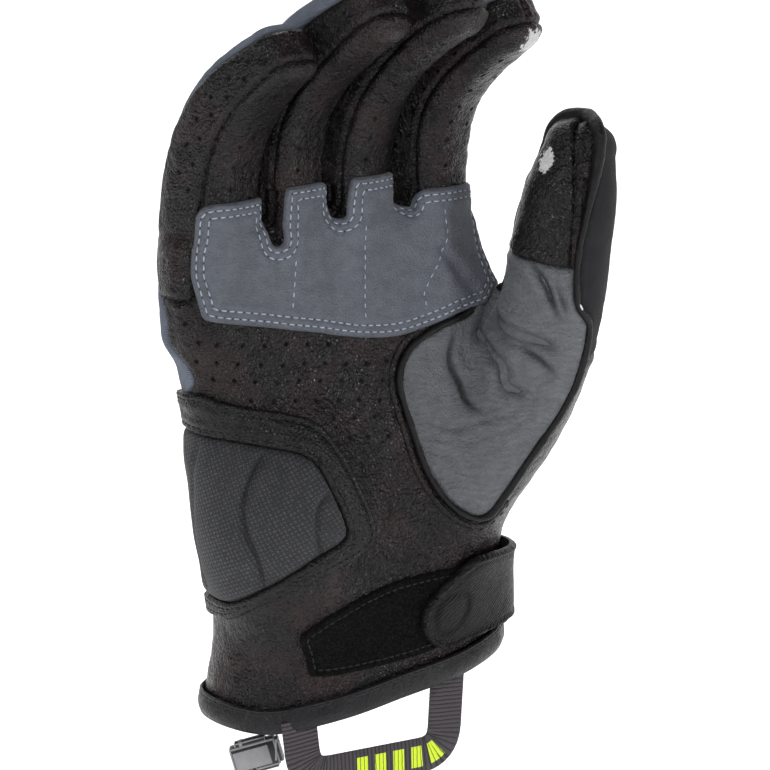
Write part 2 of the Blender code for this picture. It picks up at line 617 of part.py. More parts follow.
    def panel(self, name, low, high, gap=SEAM_GAP / 2):
        """A closed solid between two offsets of the panel, its edges drawn in by the gap."""
        lab = self.names.index(name)
        normal = self.normals()
        f = self.f[self.lab == lab]
        used, idx = np.unique(f, return_inverse=True)
        f = idx.reshape(-1, 3)
        p, n = self.p[used], normal[used]
        he = np.concatenate([f[:, [0, 1]], f[:, [1, 2]], f[:, [2, 0]]])
        have = set(map(tuple, he.tolist()))
        rim = np.asarray([h for h in he.tolist() if (h[1], h[0]) not in have])
        # a point that two rims pass through is parted into two
        out = {}
        for i, (a, b) in enumerate(rim.tolist()):
            out.setdefault(a, []).append(i)
        twice = [v for v, k in out.items() if len(k) > 1]
        for v in twice:
            fans = []
            todo = [i for i in range(len(f)) if v in f[i]]
            while todo:
                fan = [todo.pop()]
                grown = True
                while grown:
                    grown = False
                    for j in list(todo):
                        if any(len(set(f[j]) & set(f[i])) == 2 for i in fan):
                            fan.append(j)
                            todo.remove(j)
                            grown = True
                fans.append(fan)
            for fan in fans[1:]:
                p = np.concatenate([p, p[v:v + 1]])
                n = np.concatenate([n, n[v:v + 1]])
                for j in fan:
                    f[j][f[j] == v] = len(p) - 1
        if twice:
            he = np.concatenate([f[:, [0, 1]], f[:, [1, 2]], f[:, [2, 0]]])
            have = set(map(tuple, he.tolist()))
            rim = np.asarray([h for h in he.tolist() if (h[1], h[0]) not in have])
        d = p[rim[:, 1]] - p[rim[:, 0]]
        d /= np.maximum(np.linalg.norm(d, axis=1), 1e-9)[:, None]
        nm = n[rim[:, 0]] + n[rim[:, 1]]
        inward = np.cross(nm, d)
        inward /= np.maximum(np.linalg.norm(inward, axis=1), 1e-9)[:, None]
        s = np.zeros_like(p)
        np.add.at(s, rim[:, 0], inward)
        np.add.at(s, rim[:, 1], inward)
        edge = np.zeros(len(p), bool)
        edge[rim.reshape(-1)] = True
        length = np.linalg.norm(s[edge], axis=1)
        # miter: move each rim point so that both its edges draw in by the gap
        s[edge] = s[edge] / np.maximum(length, 1e-6)[:, None] * (gap * np.clip(2 / np.maximum(length, 1e-6), 1, 2.2))[:, None]
        p = p + s
        k = len(p)
        lo, hi = (low(p), high(p)) if callable(low) else (low, high)
        lo = np.broadcast_to(lo, k)[:, None]
        hi = np.broadcast_to(hi, k)[:, None]
        verts = np.concatenate([p + n * hi, p + n * lo])
        faces = np.concatenate([f, f[:, ::-1] + k,
                                np.stack([rim[:, 1], rim[:, 0], rim[:, 0] + k], -1),
                                np.stack([rim[:, 1], rim[:, 0] + k, rim[:, 1] + k], -1)])
        return verts, faces


# ---- building the objects -----------------------------------------------------------
def material(name, colour, roughness, metallic=0.0):
    mat = bpy.data.materials.new(name)
    mat.use_nodes = True
    bsdf = mat.node_tree.nodes["Principled BSDF"]
    bsdf.inputs["Base Color"].default_value = (*colour, 1)
    bsdf.inputs["Roughness"].default_value = roughness
    bsdf.inputs["Metallic"].default_value = metallic
    mat.diffuse_color = (*colour, 1)
    return mat


def add(name, verts, faces, mat, smooth=True):
    mesh = bpy.data.meshes.new(name)
    mesh.from_pydata((np.asarray(verts) * MM).tolist(), [], [list(map(int, f)) for f in faces])
    mesh.materials.append(mat)
    if smooth:
        mesh.shade_smooth()
        mesh.set_sharp_from_angle(angle=math.radians(50))
    obj = bpy.data.objects.new(name, mesh)
    bpy.context.scene.collection.objects.link(obj)
    obj.parent = ROOT
    return obj


def thinned(points, quads, target):
    """The same surface with about the target number of triangles."""
    mesh = bpy.data.meshes.new("form")
    mesh.from_pydata(points.tolist(), [], quads.tolist())
    obj = bpy.data.objects.new("form", mesh)
    bpy.context.scene.collection.objects.link(obj)
    mod = obj.modifiers.new("thin", "DECIMATE")
    mod.ratio = target / (2 * len(quads))
    mod.use_collapse_triangulate = True
    ev = obj.evaluated_get(bpy.context.evaluated_depsgraph_get())
    out = ev.to_mesh()
    out.calc_loop_triangles()
    p = np.array([v.co[:] for v in out.vertices])
    f = np.array([t.vertices[:] for t in out.loop_triangles])
    ev.to_mesh_clear()
    bpy.data.objects.remove(obj, do_unlink=True)
    bpy.data.meshes.remove(mesh)
    return p, f


def cuff_height(x):
    return smooth_curve(*np.asarray(CUFF_EDGE).T, x)


def cuff_ring(skin):
    """The points of the leather's lower edge in order, and their outward directions."""
    e = np.concatenate([skin.f[:, [0, 1]], skin.f[:, [1, 2]], skin.f[:, [2, 0]]]).tolist()
    have = set(map(tuple, e))
    step = {b: a for a, b in e if (b, a) not in have}
    at = min(step)
    order = []
    while at not in order:
        order.append(at)
        at = step[at]
    p = skin.p[order]
    n = skin.normals()[order]
    n[:, 2] = 0
    # even stations round the edge, so that no seam leaves a spike in the ring
    far = np.concatenate([[0.0], np.cumsum(np.linalg.norm(np.roll(p, -1, axis=0) - p, axis=1))])
    at = np.linspace(0.0, far[-1], CUFF_STATIONS, endpoint=False)
    p, n = (np.stack([np.interp(at, far, np.append(v[:, i], v[0, i])) for i in range(3)], axis=1) for v in (p, n))
    p[:, 2] = (np.roll(p[:, 2], 1) + 2 * p[:, 2] + np.roll(p[:, 2], -1)) / 4
    n = (np.roll(n, 1, axis=0) + 2 * n + np.roll(n, -1, axis=0)) / 4
    return p, n / np.linalg.norm(n, axis=1)[:, None]


def swept_ring(points, across, up, section):
    """A closed loop of a closed section; across and up are given for each station."""
    n, m = len(points), len(section)
    v = np.concatenate([points[i] + np.outer(np.asarray(section)[:, 0], across[i]) + np.outer(np.asarray(section)[:, 1], up) for i in range(n)])
    f = []
    for i in range(n):
        j = (i + 1) % n
        for k in range(m):
            l = (k + 1) % m
            f.append([i * m + k, i * m + l, j * m + l, j * m + k])
    return v, f


def outward(verts, faces):
    v = np.asarray(verts)
    tri = [(f[0], f[i], f[i + 1]) for f in faces for i in range(1, len(f) - 1)]
    t = np.asarray(tri)
    volume = np.einsum("ij,ij->i", v[t[:, 0]], np.cross(v[t[:, 1]], v[t[:, 2]])).sum()
    return [f[::-1] for f in faces] if volume < 0 else faces


def ribbon(path, width_dir, half_width, thickness):
    """A flat band along a path; width_dir and the path give its face."""
    p = np.asarray(path, float)
    t = np.gradient(p, axis=0)
    t /= np.linalg.norm(t, axis=1)[:, None]
    face = LOOP_FACE / np.linalg.norm(LOOP_FACE)
    side = np.cross(t, face)
    side /= np.linalg.norm(side, axis=1)[:, None]
    v = []
    for i in range(len(p)):
        for a, b in ((-1, -1), (1, -1), (1, 1), (-1, 1)):
            v.append(p[i] + side[i] * a * half_width + face * b * thickness / 2)
    f = []
    for i in range(len(p) - 1):
        for k in range(4):
            l = (k + 1) % 4
            f.append([4 * i + k, 4 * i + l, 4 * i + 4 + l, 4 * i + 4 + k])
    f += [[3, 2, 1, 0], [4 * len(p) - 4, 4 * len(p) - 3, 4 * len(p) - 2, 4 * len(p) - 1]]
    return v, f


def loop_path():
    """The pull loop's centre line: down, along and up, with round corners."""
    right = np.array([math.cos(math.radians(LOOP_TURN)), math.sin(math.radians(LOOP_TURN)), 0.0])
    pts = np.asarray(LOOP_ROWS, float)
    fine = []
    for i in range(len(pts)):
        if i in (0, len(pts) - 1):
            fine.append(pts[i])
            continue
        a, b, c = pts[i - 1], pts[i], pts[i + 1]
        r = LOOP_CORNER
        p0 = b + (a - b) / np.linalg.norm(a - b) * r
        p2 = b + (c - b) / np.linalg.norm(c - b) * r
        for t in np.linspace(0, 1, 7):
            fine.append((1 - t)**2 * p0 + 2 * t * (1 - t) * b + t * t * p2)
    fine = np.asarray(fine)
    return LOOP_ORIGIN + fine[:, :1] * right + fine[:, 1:] * np.array([0, 0, 1.0])


def box_with_bevel(name, size, bevel, mat, place, turn, tilt):
    bm = bmesh.new()
    bmesh.ops.create_cube(bm, size=1.0)
    for v in bm.verts:
        v.co = Vector((v.co.x * size[0], v.co.y * size[1], v.co.z * size[2])) * MM
    bmesh.ops.bevel(bm, geom=bm.edges[:], offset=bevel * MM, segments=2, affect="EDGES", profile=0.5)
    mesh = bpy.data.meshes.new(name)
    bm.to_mesh(mesh)
    bm.free()
    mesh.materials.append(mat)
    obj = bpy.data.objects.new(name, mesh)
    bpy.context.scene.collection.objects.link(obj)
    obj.location = Vector(place) * MM
    obj.rotation_euler = (math.radians(tilt[0]), math.radians(tilt[1]), math.radians(turn))
    obj.parent = ROOT
    return obj


def main():
    points, quads = surface_net((-72, -62, -16), (82, 42, 224), FORM_STEP)
    points = settle(points, quads, 1)
    p, f = thinned(points, quads, FORM_TRIANGLES)
    skin = Skin(p, f)
    skin.cut(cuff_height(skin.p[:, 0]) + 0.8 - skin.p[:, 2], ["palm_leather"], "waste")
    keep = skin.lab == 0
    skin.f, skin.lab = skin.f[keep], skin.lab[keep]
    used, idx = np.unique(skin.f, return_inverse=True)
    skin.p, skin.f = skin.p[used], idx.reshape(-1, 3)
    skin.names = ["palm_leather"]
    # the lower edge follows the cuff's line exactly
    edges = np.concatenate([skin.f[:, [0, 1]], skin.f[:, [1, 2]], skin.f[:, [2, 0]]]).tolist()
    pairs = set(map(tuple, edges))
    rim = sorted({i for a, b in edges if (b, a) not in pairs for i in (a, b)})
    skin.p[rim, 2] = cuff_height(skin.p[rim, 0]) + 0.8
    base = skin.copy()

    # thumb: grey palm side, black tip, side strip and knit back
    thumb = lambda s: tube_coords(s.p, PATHS["thumb"])
    skin.cut(thumb_front, ["palm_leather"], "thumb_palm_panel")
    q = thumb(skin)
    skin.cut(q[:, 0] - THUMB_TIP_FROM, ["thumb_palm_panel"], "thumb_tip_panel")
    q = thumb(skin)
    theta = np.degrees(np.arctan2(q[:, 1] / q[:, 4], q[:, 2] / q[:, 5]))
    skin.cut((theta - smooth_curve((112, 122, 139, 148, 156), (22, 17, 4, -8, -14), q[:, 0])) * 0.25, ["thumb_tip_panel"], "thumb_side_strip")
    q = thumb(skin)
    skin.cut(np.minimum(q[:, 0] - 86, 4 - tube_field(q, THUMB_CAP, 2.5, 2.4)), ["palm_leather"], "thumb_back_panel")
    # back of the hand and its cuff
    skin.cut(back_side, ["palm_leather"], "back_panel")
    skin.cut(BACK_CUFF_TOP - skin.p[:, 2], ["back_panel"], "back_cuff")
    # side strips of the fingers
    side = lambda s: np.minimum(12 * (front_seam(s.p) - facing(s.p)), s.p[:, 2] - np.where(s.p[:, 0] < 0, 128, 121))
    skin.cut(side(skin), ["palm_leather"], "pinky_side_strip")
    across = PATHS["pinky"]["b"][0]
    mids = [float(PATHS[n]["c"][16] @ across) for n in FINGERS]
    strips = ["fourchette_pinky_ring", "fourchette_ring_middle", "fourchette_middle_index", "index_side_strip"]
    last = "pinky_side_strip"
    for name, m in zip(strips, mids):
        skin.cut(skin.p @ across - m, [last], name)
        last = name
    skin.tidy()
    for name in skin.names:
        verts, faces = skin.panel(name, -SKIN, 0.0)
        add(name, verts, faces, MATERIALS[PANEL_MATERIAL[name]])

    # pieces sewn on top of the palm
    def patch(name, phi, low, high, mat, hole=None):
        s = base.copy()
        s.cut(phi, ["palm_leather"], name, snap=0.1, move=False)
        if hole is not None:
            s.cut(hole, [name], "hole", snap=0.1, move=False)
        s.tidy()
        verts, faces = s.panel(name, low, high)
        add(name, verts, faces, MATERIALS[mat])

    pat = lambda P, rows: np.minimum(inside_outline(pattern(P)[0], P[:, 2], rows), 30 * (pattern(P)[1] + 0.33))
    patch("palm_overlay", overlay_inside, ON_TOP, ON_TOP + OVERLAY, "grey_leather")
    pad = lambda P: pat(P, HEEL_PAD)
    patch("heel_pad_frame", lambda P: pat(P, HEEL_FRAME), ON_TOP, ON_TOP + OVERLAY, "black_leather", hole=pad)
    crown = lambda P: ON_TOP + OVERLAY + PAD_CROWN * np.clip(pad(P) / 9.0, 0, 1)**0.6
    patch("heel_pad", pad, lambda P: np.full(len(P), ON_TOP), crown, "heel_fabric")
    patch("loop_patch", lambda P: pat(P, LOOP_PATCH), ON_TOP, ON_TOP + 1.1, "hook_loop")
    lift = lambda P: ON_TOP + 1.6 + STRAP_STANDOFF * np.clip((P[:, 0] - 20) / 22, 0, 1)
    strap = lambda P: inside_outline(pattern(P)[0], P[:, 2], WRIST_STRAP)
    patch("wrist_strap", strap, lift, lambda P: lift(P) + STRAP, "strap_leather")

    # folded binding round the cuff
    ring, out = cuff_ring(base)
    t, low = BINDING, -0.7
    front, behind = 0.8, -SKIN - 0.8
    section = [(front, t), (front + 1.0, t), (front + 0.9, low - 1.3), (behind - 0.9, low - 1.3), (behind - 1.0, t), (behind, t), (behind, low), (front, low)]
    verts, faces = swept_ring(ring, out, np.array([0, 0, 1.0]), section)
    add("cuff_binding", verts, outward(verts, faces), MATERIALS["binding_leather"])

    verts, faces = ribbon(loop_path(), None, LOOP_WIDTH / 2, LOOP_THICK)
    add("pull_loop", verts, outward(verts, faces), MATERIALS["webbing"])

    clip = box_with_bevel("glove_clip", CLIP_SIZE, 0.8, MATERIALS["clip_plastic"], CLIP_PLACE, CLIP_TURN, CLIP_TILT)
    bpy.context.view_layer.update()


def materials():
    return {
        "black_leather": material("black_leather", (0.030, 0.027, 0.028), 0.46),
        "grey_leather": material("grey_leather", (0.115, 0.130, 0.160), 0.52),
        "thumb_leather": material("thumb_leather", (0.105, 0.115, 0.125), 0.52),
        "back_textile": material("back_textile", (0.190, 0.210, 0.240), 0.80),
        "knit": material("knit", (0.035, 0.035, 0.038), 0.90),
        "heel_fabric": material("heel_fabric", (0.040, 0.043, 0.050), 0.85),
        "hook_loop": material("hook_loop", (0.020, 0.020, 0.022), 0.95),
        "strap_leather": material("strap_leather", (0.045, 0.044, 0.048), 0.50),
        "binding_leather": material("binding_leather", (0.060, 0.060, 0.065), 0.55),
        "webbing": material("webbing", (0.085, 0.080, 0.088), 0.80),
        "clip_plastic": material("clip_plastic", (0.200, 0.205, 0.215), 0.40),
        "clip_dark": material("clip_dark", (0.015, 0.015, 0.016), 0.35),
    }


PANEL_MATERIAL = {
    "palm_leather": "black_leather", "back_panel": "back_textile", "back_cuff": "black_leather",
    "pinky_side_strip": "black_leather", "fourchette_pinky_ring": "black_leather", "fourchette_ring_middle": "black_leather",
    "fourchette_middle_index": "black_leather", "index_side_strip": "black_leather", "thumb_palm_panel": "thumb_leather",
    "thumb_tip_panel": "black_leather", "thumb_side_strip": "black_leather", "thumb_back_panel": "knit",
}


MATERIALS = materials()
main()
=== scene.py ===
import json
import math

import bmesh
import bpy
import numpy as np
from mathutils import Matrix, Vector
from mathutils.kdtree import KDTree

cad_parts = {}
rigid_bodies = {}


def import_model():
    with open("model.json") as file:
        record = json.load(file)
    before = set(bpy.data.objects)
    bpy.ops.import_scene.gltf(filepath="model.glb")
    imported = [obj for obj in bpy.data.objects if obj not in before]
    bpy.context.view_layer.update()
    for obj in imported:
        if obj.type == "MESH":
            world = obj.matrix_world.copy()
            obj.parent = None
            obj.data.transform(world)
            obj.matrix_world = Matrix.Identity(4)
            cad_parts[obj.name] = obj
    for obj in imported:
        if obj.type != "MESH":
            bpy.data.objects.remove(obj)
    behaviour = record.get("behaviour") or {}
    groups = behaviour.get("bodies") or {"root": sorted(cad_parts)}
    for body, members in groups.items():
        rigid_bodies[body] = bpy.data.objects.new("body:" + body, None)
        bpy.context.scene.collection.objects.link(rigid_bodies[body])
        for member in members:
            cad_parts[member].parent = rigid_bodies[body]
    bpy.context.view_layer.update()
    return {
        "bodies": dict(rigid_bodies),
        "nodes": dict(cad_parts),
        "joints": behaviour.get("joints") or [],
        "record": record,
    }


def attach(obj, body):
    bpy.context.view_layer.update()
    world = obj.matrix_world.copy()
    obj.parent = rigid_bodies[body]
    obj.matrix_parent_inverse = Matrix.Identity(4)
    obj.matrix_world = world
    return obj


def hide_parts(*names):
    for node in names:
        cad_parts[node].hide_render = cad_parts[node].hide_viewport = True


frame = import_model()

MM = 0.001
GRID = 1.35              # spacing of the grid that the form is read on, halved afterwards
SKIN = 1.3               # leather wall

# outlines in the flat pattern of the hand: A is the way round from the palm's middle, and z
OVERLAY_EDGE = ((-60, 124.5), (-49.6, 123.5), (-34, 120.3), (-16, 117.0), (-3.7, 114.3), (12.7, 113.2), (23.4, 115.1), (34.6, 117.9), (44.6, 119.4), (60, 119.4))
OVERLAY_TABS = {"pinky": 155.8, "ring": 159.0, "middle": 160.2, "index": 155.0}
# slots between the overlay's tabs: fingers, bottom z, half width
SLOT_CUTS = ((("pinky", "ring"), 142.0, 1.5), (("ring", "middle"), 148.0, 1.5), (("middle", "index"), 151.0, 2.2))
HEEL_FRAME = ((-90, 100), (-63.4, 100.5), (-55.4, 101.5), (-50, 99.4), (-39.3, 96.8), (-26.5, 94.5), (-19.4, 91.7), (-15.4, 87), (-11.6, 80), (-8.4, 70.7),
              (-5.7, 61.3), (-5.4, 55.2), (-10.6, 51.8), (-19.2, 48.5), (-29.6, 44.3), (-38, 39.7), (-44.7, 35.6), (-52, 31.5), (-90, 30))
HEEL_PAD = ((-90, 90), (-61.5, 89.1), (-51.8, 88.3), (-39.4, 86.4), (-26.3, 84.3), (-21.4, 82.2), (-18.5, 78.5), (-16.6, 72.5), (-14.4, 64.7), (-13.5, 60.1),
            (-14.4, 57.3), (-21.1, 54.1), (-28.9, 48.9), (-36.6, 44.4), (-43.6, 40.6), (-51.4, 37.5), (-90, 36.5))
LOOP_PATCH = ((-31.3, 28.2), (-29.2, 30.6), (-21.4, 35), (-12.1, 39), (1.5, 42.1), (12.9, 43.8), (24, 44.5), (24, 22.5), (9.9, 19.7), (-0.7, 18.4), (-23.1, 16.3), (-29.6, 16.6))
WRIST_STRAP = ((21.7, 48.6), (17.8, 44.6), (12.7, 39.8), (8, 35.3), (5.5, 31), (5.8, 24.8), (9.9, 20.6), (15.6, 19.9), (26.2, 21.4), (44.8, 22.5), (60, 23),
               (110, 23), (112, 25), (112, 42), (110, 44), (60, 43.5), (44, 46))
THUMB_PANEL = ((41.0, 121.5), (39.6, 119.4), (32.3, 117.4), (21.2, 114.8), (10.5, 110), (6.6, 104.6), (5.4, 98.9), (7.1, 91.5), (9.9, 82.4), (12.2, 73.5), (15.9, 66),
               (19.7, 61.5), (25.1, 58.3), (29.6, 58.5), (32.4, 62.4), (40.6, 75.7), (50, 88.5), (54.6, 97.5), (56.0, 108.6), (56, 124))
CUFF_EDGE = ((-48, 1.6), (-40, 0.5), (-26, 3.0), (-15, 5.2), (0, 8.4), (22, 11.4), (33, 13.2), (48, 15.4))
BINDING = 5.6
BACK_CUFF_TOP = 36.0
THUMB_TIP_FROM = 112.0

# pull loop and clip
LOOP_ORIGIN = np.array([-6.0, -24.6, 0.0])
LOOP_TURN = -3.0
LOOP_FACE = np.array([-0.05, -1.0, 0.0])
LOOP_ROWS = ((-24.7, 4.2), (-22.6, -14.2), (23.0, -13.0), (24.6, 14.4))  # along, z
LOOP_CORNER, LOOP_WIDTH, LOOP_THICK = 8.0, 11.0, 1.5
CLIP_PLACE, CLIP_SIZE, CLIP_TURN, CLIP_TILT = (-39.6, -14.0, -7.6), (15.5, 4.4, 10.5), -30.0, (0.0, -16.0)

# quilted lines of the heel pad, in the flat pattern: A and z
QUILTING = (((-35, 83.7), (-38.6, 76.7), (-40.5, 69.5), (-39.6, 62.3), (-36.7, 53.6), (-36, 45.1)),
            ((-17.2, 71.7), (-20, 68.8), (-21.4, 63.1), (-21, 55)),
            ((-55.8, 88.5), (-57.5, 83.8), (-59, 77.5), (-60, 66), (-59, 52), (-57, 42)))
# stitched channels of the grey overlay: A and z
CHANNELS = (((-35.5, 152.0), (-35.8, 143), (-37.0, 138.5), (-42.5, 131.0)),
            ((-13.2, 157.0), (-12.4, 146.0), (-20.0, 124.0)),
            ((5.6, 158.5), (6.6, 150), (1.8, 120.5)),
            ((31.6, 153.0), (31.8, 140.0), (22.6, 124.0)))
# folds of the leather: depth, width, then points in mm
FOLDS = (
    (3.0, 2.0, ((39.8, -14.9, 118.8), (36.0, -25.8, 115.0), (38.3, -33.1, 112.4), (43.7, -38.2, 110.3), (47.6, -40.3, 108.2))),
    (2.7, 1.8, ((37.8, -15.4, 116.6), (34.9, -16.4, 112.0), (34.2, -23.2, 107.2), (34.8, -27.9, 103.5), (35.3, -29.9, 97.8), (40.7, -35.0, 95.2))),
    (1.3, 1.4, ((35.6, -26.5, 112.1), (43.0, -36.8, 105.7), (48.0, -38.8, 100.2))),
    (1.7, 1.5, ((39.5, -36.2, 135.5), (42.6, -39.6, 128.4), (45.2, -41.0, 121.0), (46.7, -41.5, 118.0))),
    (1.0, 1.1, ((44.0, -39.5, 134.0), (46.0, -41.5, 127.0), (48.0, -43.0, 119.0))),
    (1.3, 1.5, ((26.5, -16.1, 112.8), (24.0, -17.3, 104.2), (26.1, -19.7, 96.9), (26.4, -22.1, 92.8), (29.8, -27.7, 89.0))),
    (0.45, 0.9, ((30.5, -16.2, 113.8), (28.5, -18.0, 106.0), (30.0, -22.0, 99.0))),
    (0.35, 0.9, ((11.3, -20.4, 88.1), (20.9, -22.6, 85.1), (30.7, -29.1, 87.6), (40.6, -35.3, 92.2))),
    (0.3, 0.8, ((12.0, -21.0, 84.0), (22.0, -24.0, 81.0), (32.5, -31.5, 84.0), (42.0, -36.5, 89.5))),
    (0.35, 0.9, ((12.8, -21.9, 79.2), (22.3, -26.1, 76.5), (32.1, -32.5, 80.6))),
    (0.3, 0.8, ((15.0, -24.0, 71.9), (24.1, -28.8, 69.6), (34.5, -34.3, 74.7))),
    (0.3, 0.8, ((17.5, -25.8, 66.5), (25.0, -29.8, 65.0), (32.5, -33.0, 68.0))),
)



# ---- palm barrel: a row for each section (mm) --------------------------------
PALM_ROWS = (  # z, centre_x, half_width, front, back, exponent, arch
    (-14, 0.8, 47.4, 29.0, 28.0, 2.2, 0.0),
    (5, 0.8, 47.2, 29.0, 28.0, 2.2, 0.0),
    (25, 2.0, 45.9, 27.0, 27.0, 2.2, 0.5),
    (45, 0.4, 47.0, 25.0, 25.5, 2.25, 1.0),
    (64, -1.1, 49.0, 23.5, 24.0, 2.3, 2.0),
    (80, -2.2, 50.3, 21.5, 23.0, 2.35, 3.0),
    (92, -2.6, 50.8, 20.0, 22.0, 2.38, 3.5),
    (104, -4.2, 52.2, 18.0, 20.5, 2.4, 4.0),
    (126, -7.6, 52.8, 15.0, 17.5, 2.5, 4.0),
    (139, -10.6, 49.6, 13.0, 15.5, 2.6, 3.0),
    (150, -12.6, 46.5, 12.0, 14.0, 2.7, 2.0),
)
PALM_TOP, PALM_CAP = 141.0, 9.0
# ---- fingers: curl is the lean from upright at eight equal steps (degrees) ----
FINGERS = {
    # name: base (mm), plane, length, curls, half widths, half depths, tip cap
    "pinky": ((-46.8, -1.0, 141.8), 20, 73.5, (1, 6, 14, 24, 35, 48.5, 55.5, 60.0), (12.2, 11.6, 9.0), (12.6, 10.9, 8.3)),
    "ring": ((-25.2, -1.0, 144.3), 20, 90.0, (-2, 2.7, 11.2, 25.5, 44.7, 54.4, 60.0, 62.0), (11.6, 11.6, 9.8), (12.8, 12.2, 9.8)),
    "middle": ((-3.4, -1.0, 147.1), 20, 90.0, (0.2, 5.2, 17.4, 30.6, 43.9, 56, 63, 66), (11.4, 11.6, 10.0), (12.6, 12.2, 9.8)),
    "index": ((24.0, 0.0, 144.9), 20, 80.0, (-0.2, 4.6, 9, 24.2, 41.5, 51.7, 57.1, 60.6), (11.2, 11.2, 9.4), (12.6, 11.6, 9.4)),
}
CAP = 8.5
SLOTS = (("pinky", "ring"), ("ring", "middle"), ("middle", "index"))
SLOT_HALF = 1.0
# ---- thumb: centre line and half sizes (mm) -----------------------------------
THUMB_ROWS = (  # x, y, z, half_width, half_depth
    (14.0, -4.0, 36.0, 18.0, 18.0),
    (28.0, -12.0, 64.0, 18.0, 17.5),
    (38.0, -17.0, 78.1, 16.8, 16.5),
    (45.5, -20.0, 90.2, 16.4, 15.5),
    (50.2, -23.0, 102.6, 16.0, 15.0),
    (52.2, -27.0, 115.4, 15.2, 14.5),
    (53.6, -31.0, 137.8, 14.6, 14.2),
    (56.0, -33.5, 157.0, 12.8, 12.4),
    (57.9, -33.8, 166.0, 10.4, 10.6),
)
THUMB_CAP = 9.0
THUMB_FACE = -42.0  # azimuth that the thumb pad faces
HEEL = ((-26.0, -12.0, 59.0), (20.5, 15.5, 34.0))
K_WEB, K_FINGER, K_THUMB, K_HEEL = 2.0, 5.0, 10.0, 12.0


def smooth_curve(xs, ys, x):
    """Cubic Hermite through the rows."""
    xs = np.asarray(xs, float)
    ys = np.asarray(ys, float)
    d = np.diff(ys) / np.diff(xs)
    m = np.concatenate([[d[0]], (d[1:] * np.diff(xs)[:-1] + d[:-1] * np.diff(xs)[1:]) / (xs[2:] - xs[:-2]), [d[-1]]])
    x = np.clip(x, xs[0], xs[-1])
    i = np.clip(np.searchsorted(xs, x, side="right") - 1, 0, len(xs) - 2)
    h = xs[i + 1] - xs[i]
    t = (x - xs[i]) / h
    return ((2 * t**3 - 3 * t**2 + 1) * ys[i] + (t**3 - 2 * t**2 + t) * h * m[i]
            + (-2 * t**3 + 3 * t**2) * ys[i + 1] + (t**3 - t**2) * h * m[i + 1])


def smin(a, b, k):
    h = np.clip(0.5 + 0.5 * (b - a) / k, 0, 1)
    return b * (1 - h) + a * h - k * h * (1 - h)


def smax(a, b, k):
    return -smin(-a, -b, k)


def tube_path(points, sizes, across):
    """Samples about 1.5 mm apart along a centre line, with its frames."""
    points = np.asarray(points, float)
    seg = np.linalg.norm(np.diff(points, axis=0), axis=1)
    s = np.concatenate([[0], np.cumsum(seg)])
    n = int(s[-1] / 1.5) + 2
    t = np.linspace(0, s[-1], n)
    c = np.stack([smooth_curve(s, points[:, k], t) for k in range(3)], -1)
    tan = np.gradient(c, t, axis=0)
    tan /= np.linalg.norm(tan, axis=1)[:, None]
    b = across - (tan @ across)[:, None] * tan
    b /= np.linalg.norm(b, axis=1)[:, None]
    front = np.cross(b, tan)
    size = np.stack([smooth_curve(s, np.asarray(sizes, float)[:, k], t) for k in range(2)], -1)
    return dict(s=t, c=c, t=tan, b=b, n=front, size=size)


def finger_path(name):
    base, plane, length, curls, widths, depths = FINGERS[name]
    a = np.radians(plane)
    p = np.array([np.sin(a), -np.cos(a), 0.0])
    across = np.array([np.cos(a), np.sin(a), 0.0])
    steps = 40
    ds = (length - CAP) / steps
    mid = (np.arange(8) + 0.5) / 8 * length
    s = (np.arange(steps) + 0.5) * ds
    lean = np.radians(np.interp(s, mid, curls))
    d = np.cos(lean)[:, None] * np.array([0, 0, 1.0]) + np.sin(lean)[:, None] * p
    c = np.concatenate([[np.asarray(base, float)], np.asarray(base) + np.cumsum(d * ds, axis=0)])
    c = np.concatenate([np.asarray(base) + np.array([[0, 0, -24.0], [0, 0, -12.0]]), c])
    s = np.concatenate([[-24, -12], np.arange(steps + 1) * ds])
    size = np.stack([smooth_curve((-24, 0, length * 0.5, length), (widths[0], widths[0], widths[1], widths[2]), s),
                     smooth_curve((-24, 0, length * 0.5, length), (depths[0], depths[0], depths[1], depths[2]), s)], -1)
    path = tube_path(c, size, across)
    path["s"] = path["s"] - 24.0
    return path


def thumb_path():
    rows = np.asarray(THUMB_ROWS, float)
    a = np.radians(THUMB_FACE)
    return tube_path(rows[:, :3], rows[:, 3:], np.array([np.cos(a), np.sin(a), 0.0]))


def tube_coords(P, path):
    """Local coordinates: along, across, front, past the end, half sizes."""
    out = np.empty((len(P), 6))
    c, n = path["c"], len(path["c"])
    for lo in range(0, len(P), 60000):
        q = P[lo:lo + 60000]
        d2 = (q**2).sum(1)[:, None] - 2 * q @ c.T + (c**2).sum(1)[None]
        i = d2.argmin(1)
        ds = ((q - c[i]) * path["t"][i]).sum(1)
        s = path["s"][i] + ds
        sc = np.clip(s, path["s"][0], path["s"][-1])
        f = np.clip((sc - path["s"][0]) / (path["s"][1] - path["s"][0]), 0, n - 1.000001)
        j = f.astype(int)
        w = (f - j)[:, None]
        lerp = lambda k: path[k][j] * (1 - w) + path[k][np.minimum(j + 1, n - 1)] * w
        o = q - lerp("c")
        out[lo:lo + 60000, 0] = s
        out[lo:lo + 60000, 1] = (o * lerp("b")).sum(1)
        out[lo:lo + 60000, 2] = (o * lerp("n")).sum(1)
        out[lo:lo + 60000, 3] = np.where(s > path["s"][-1], s - path["s"][-1], 0) - np.where(s < path["s"][0], path["s"][0] - s, 0)
        out[lo:lo + 60000, 4:] = lerp("size")
    return out


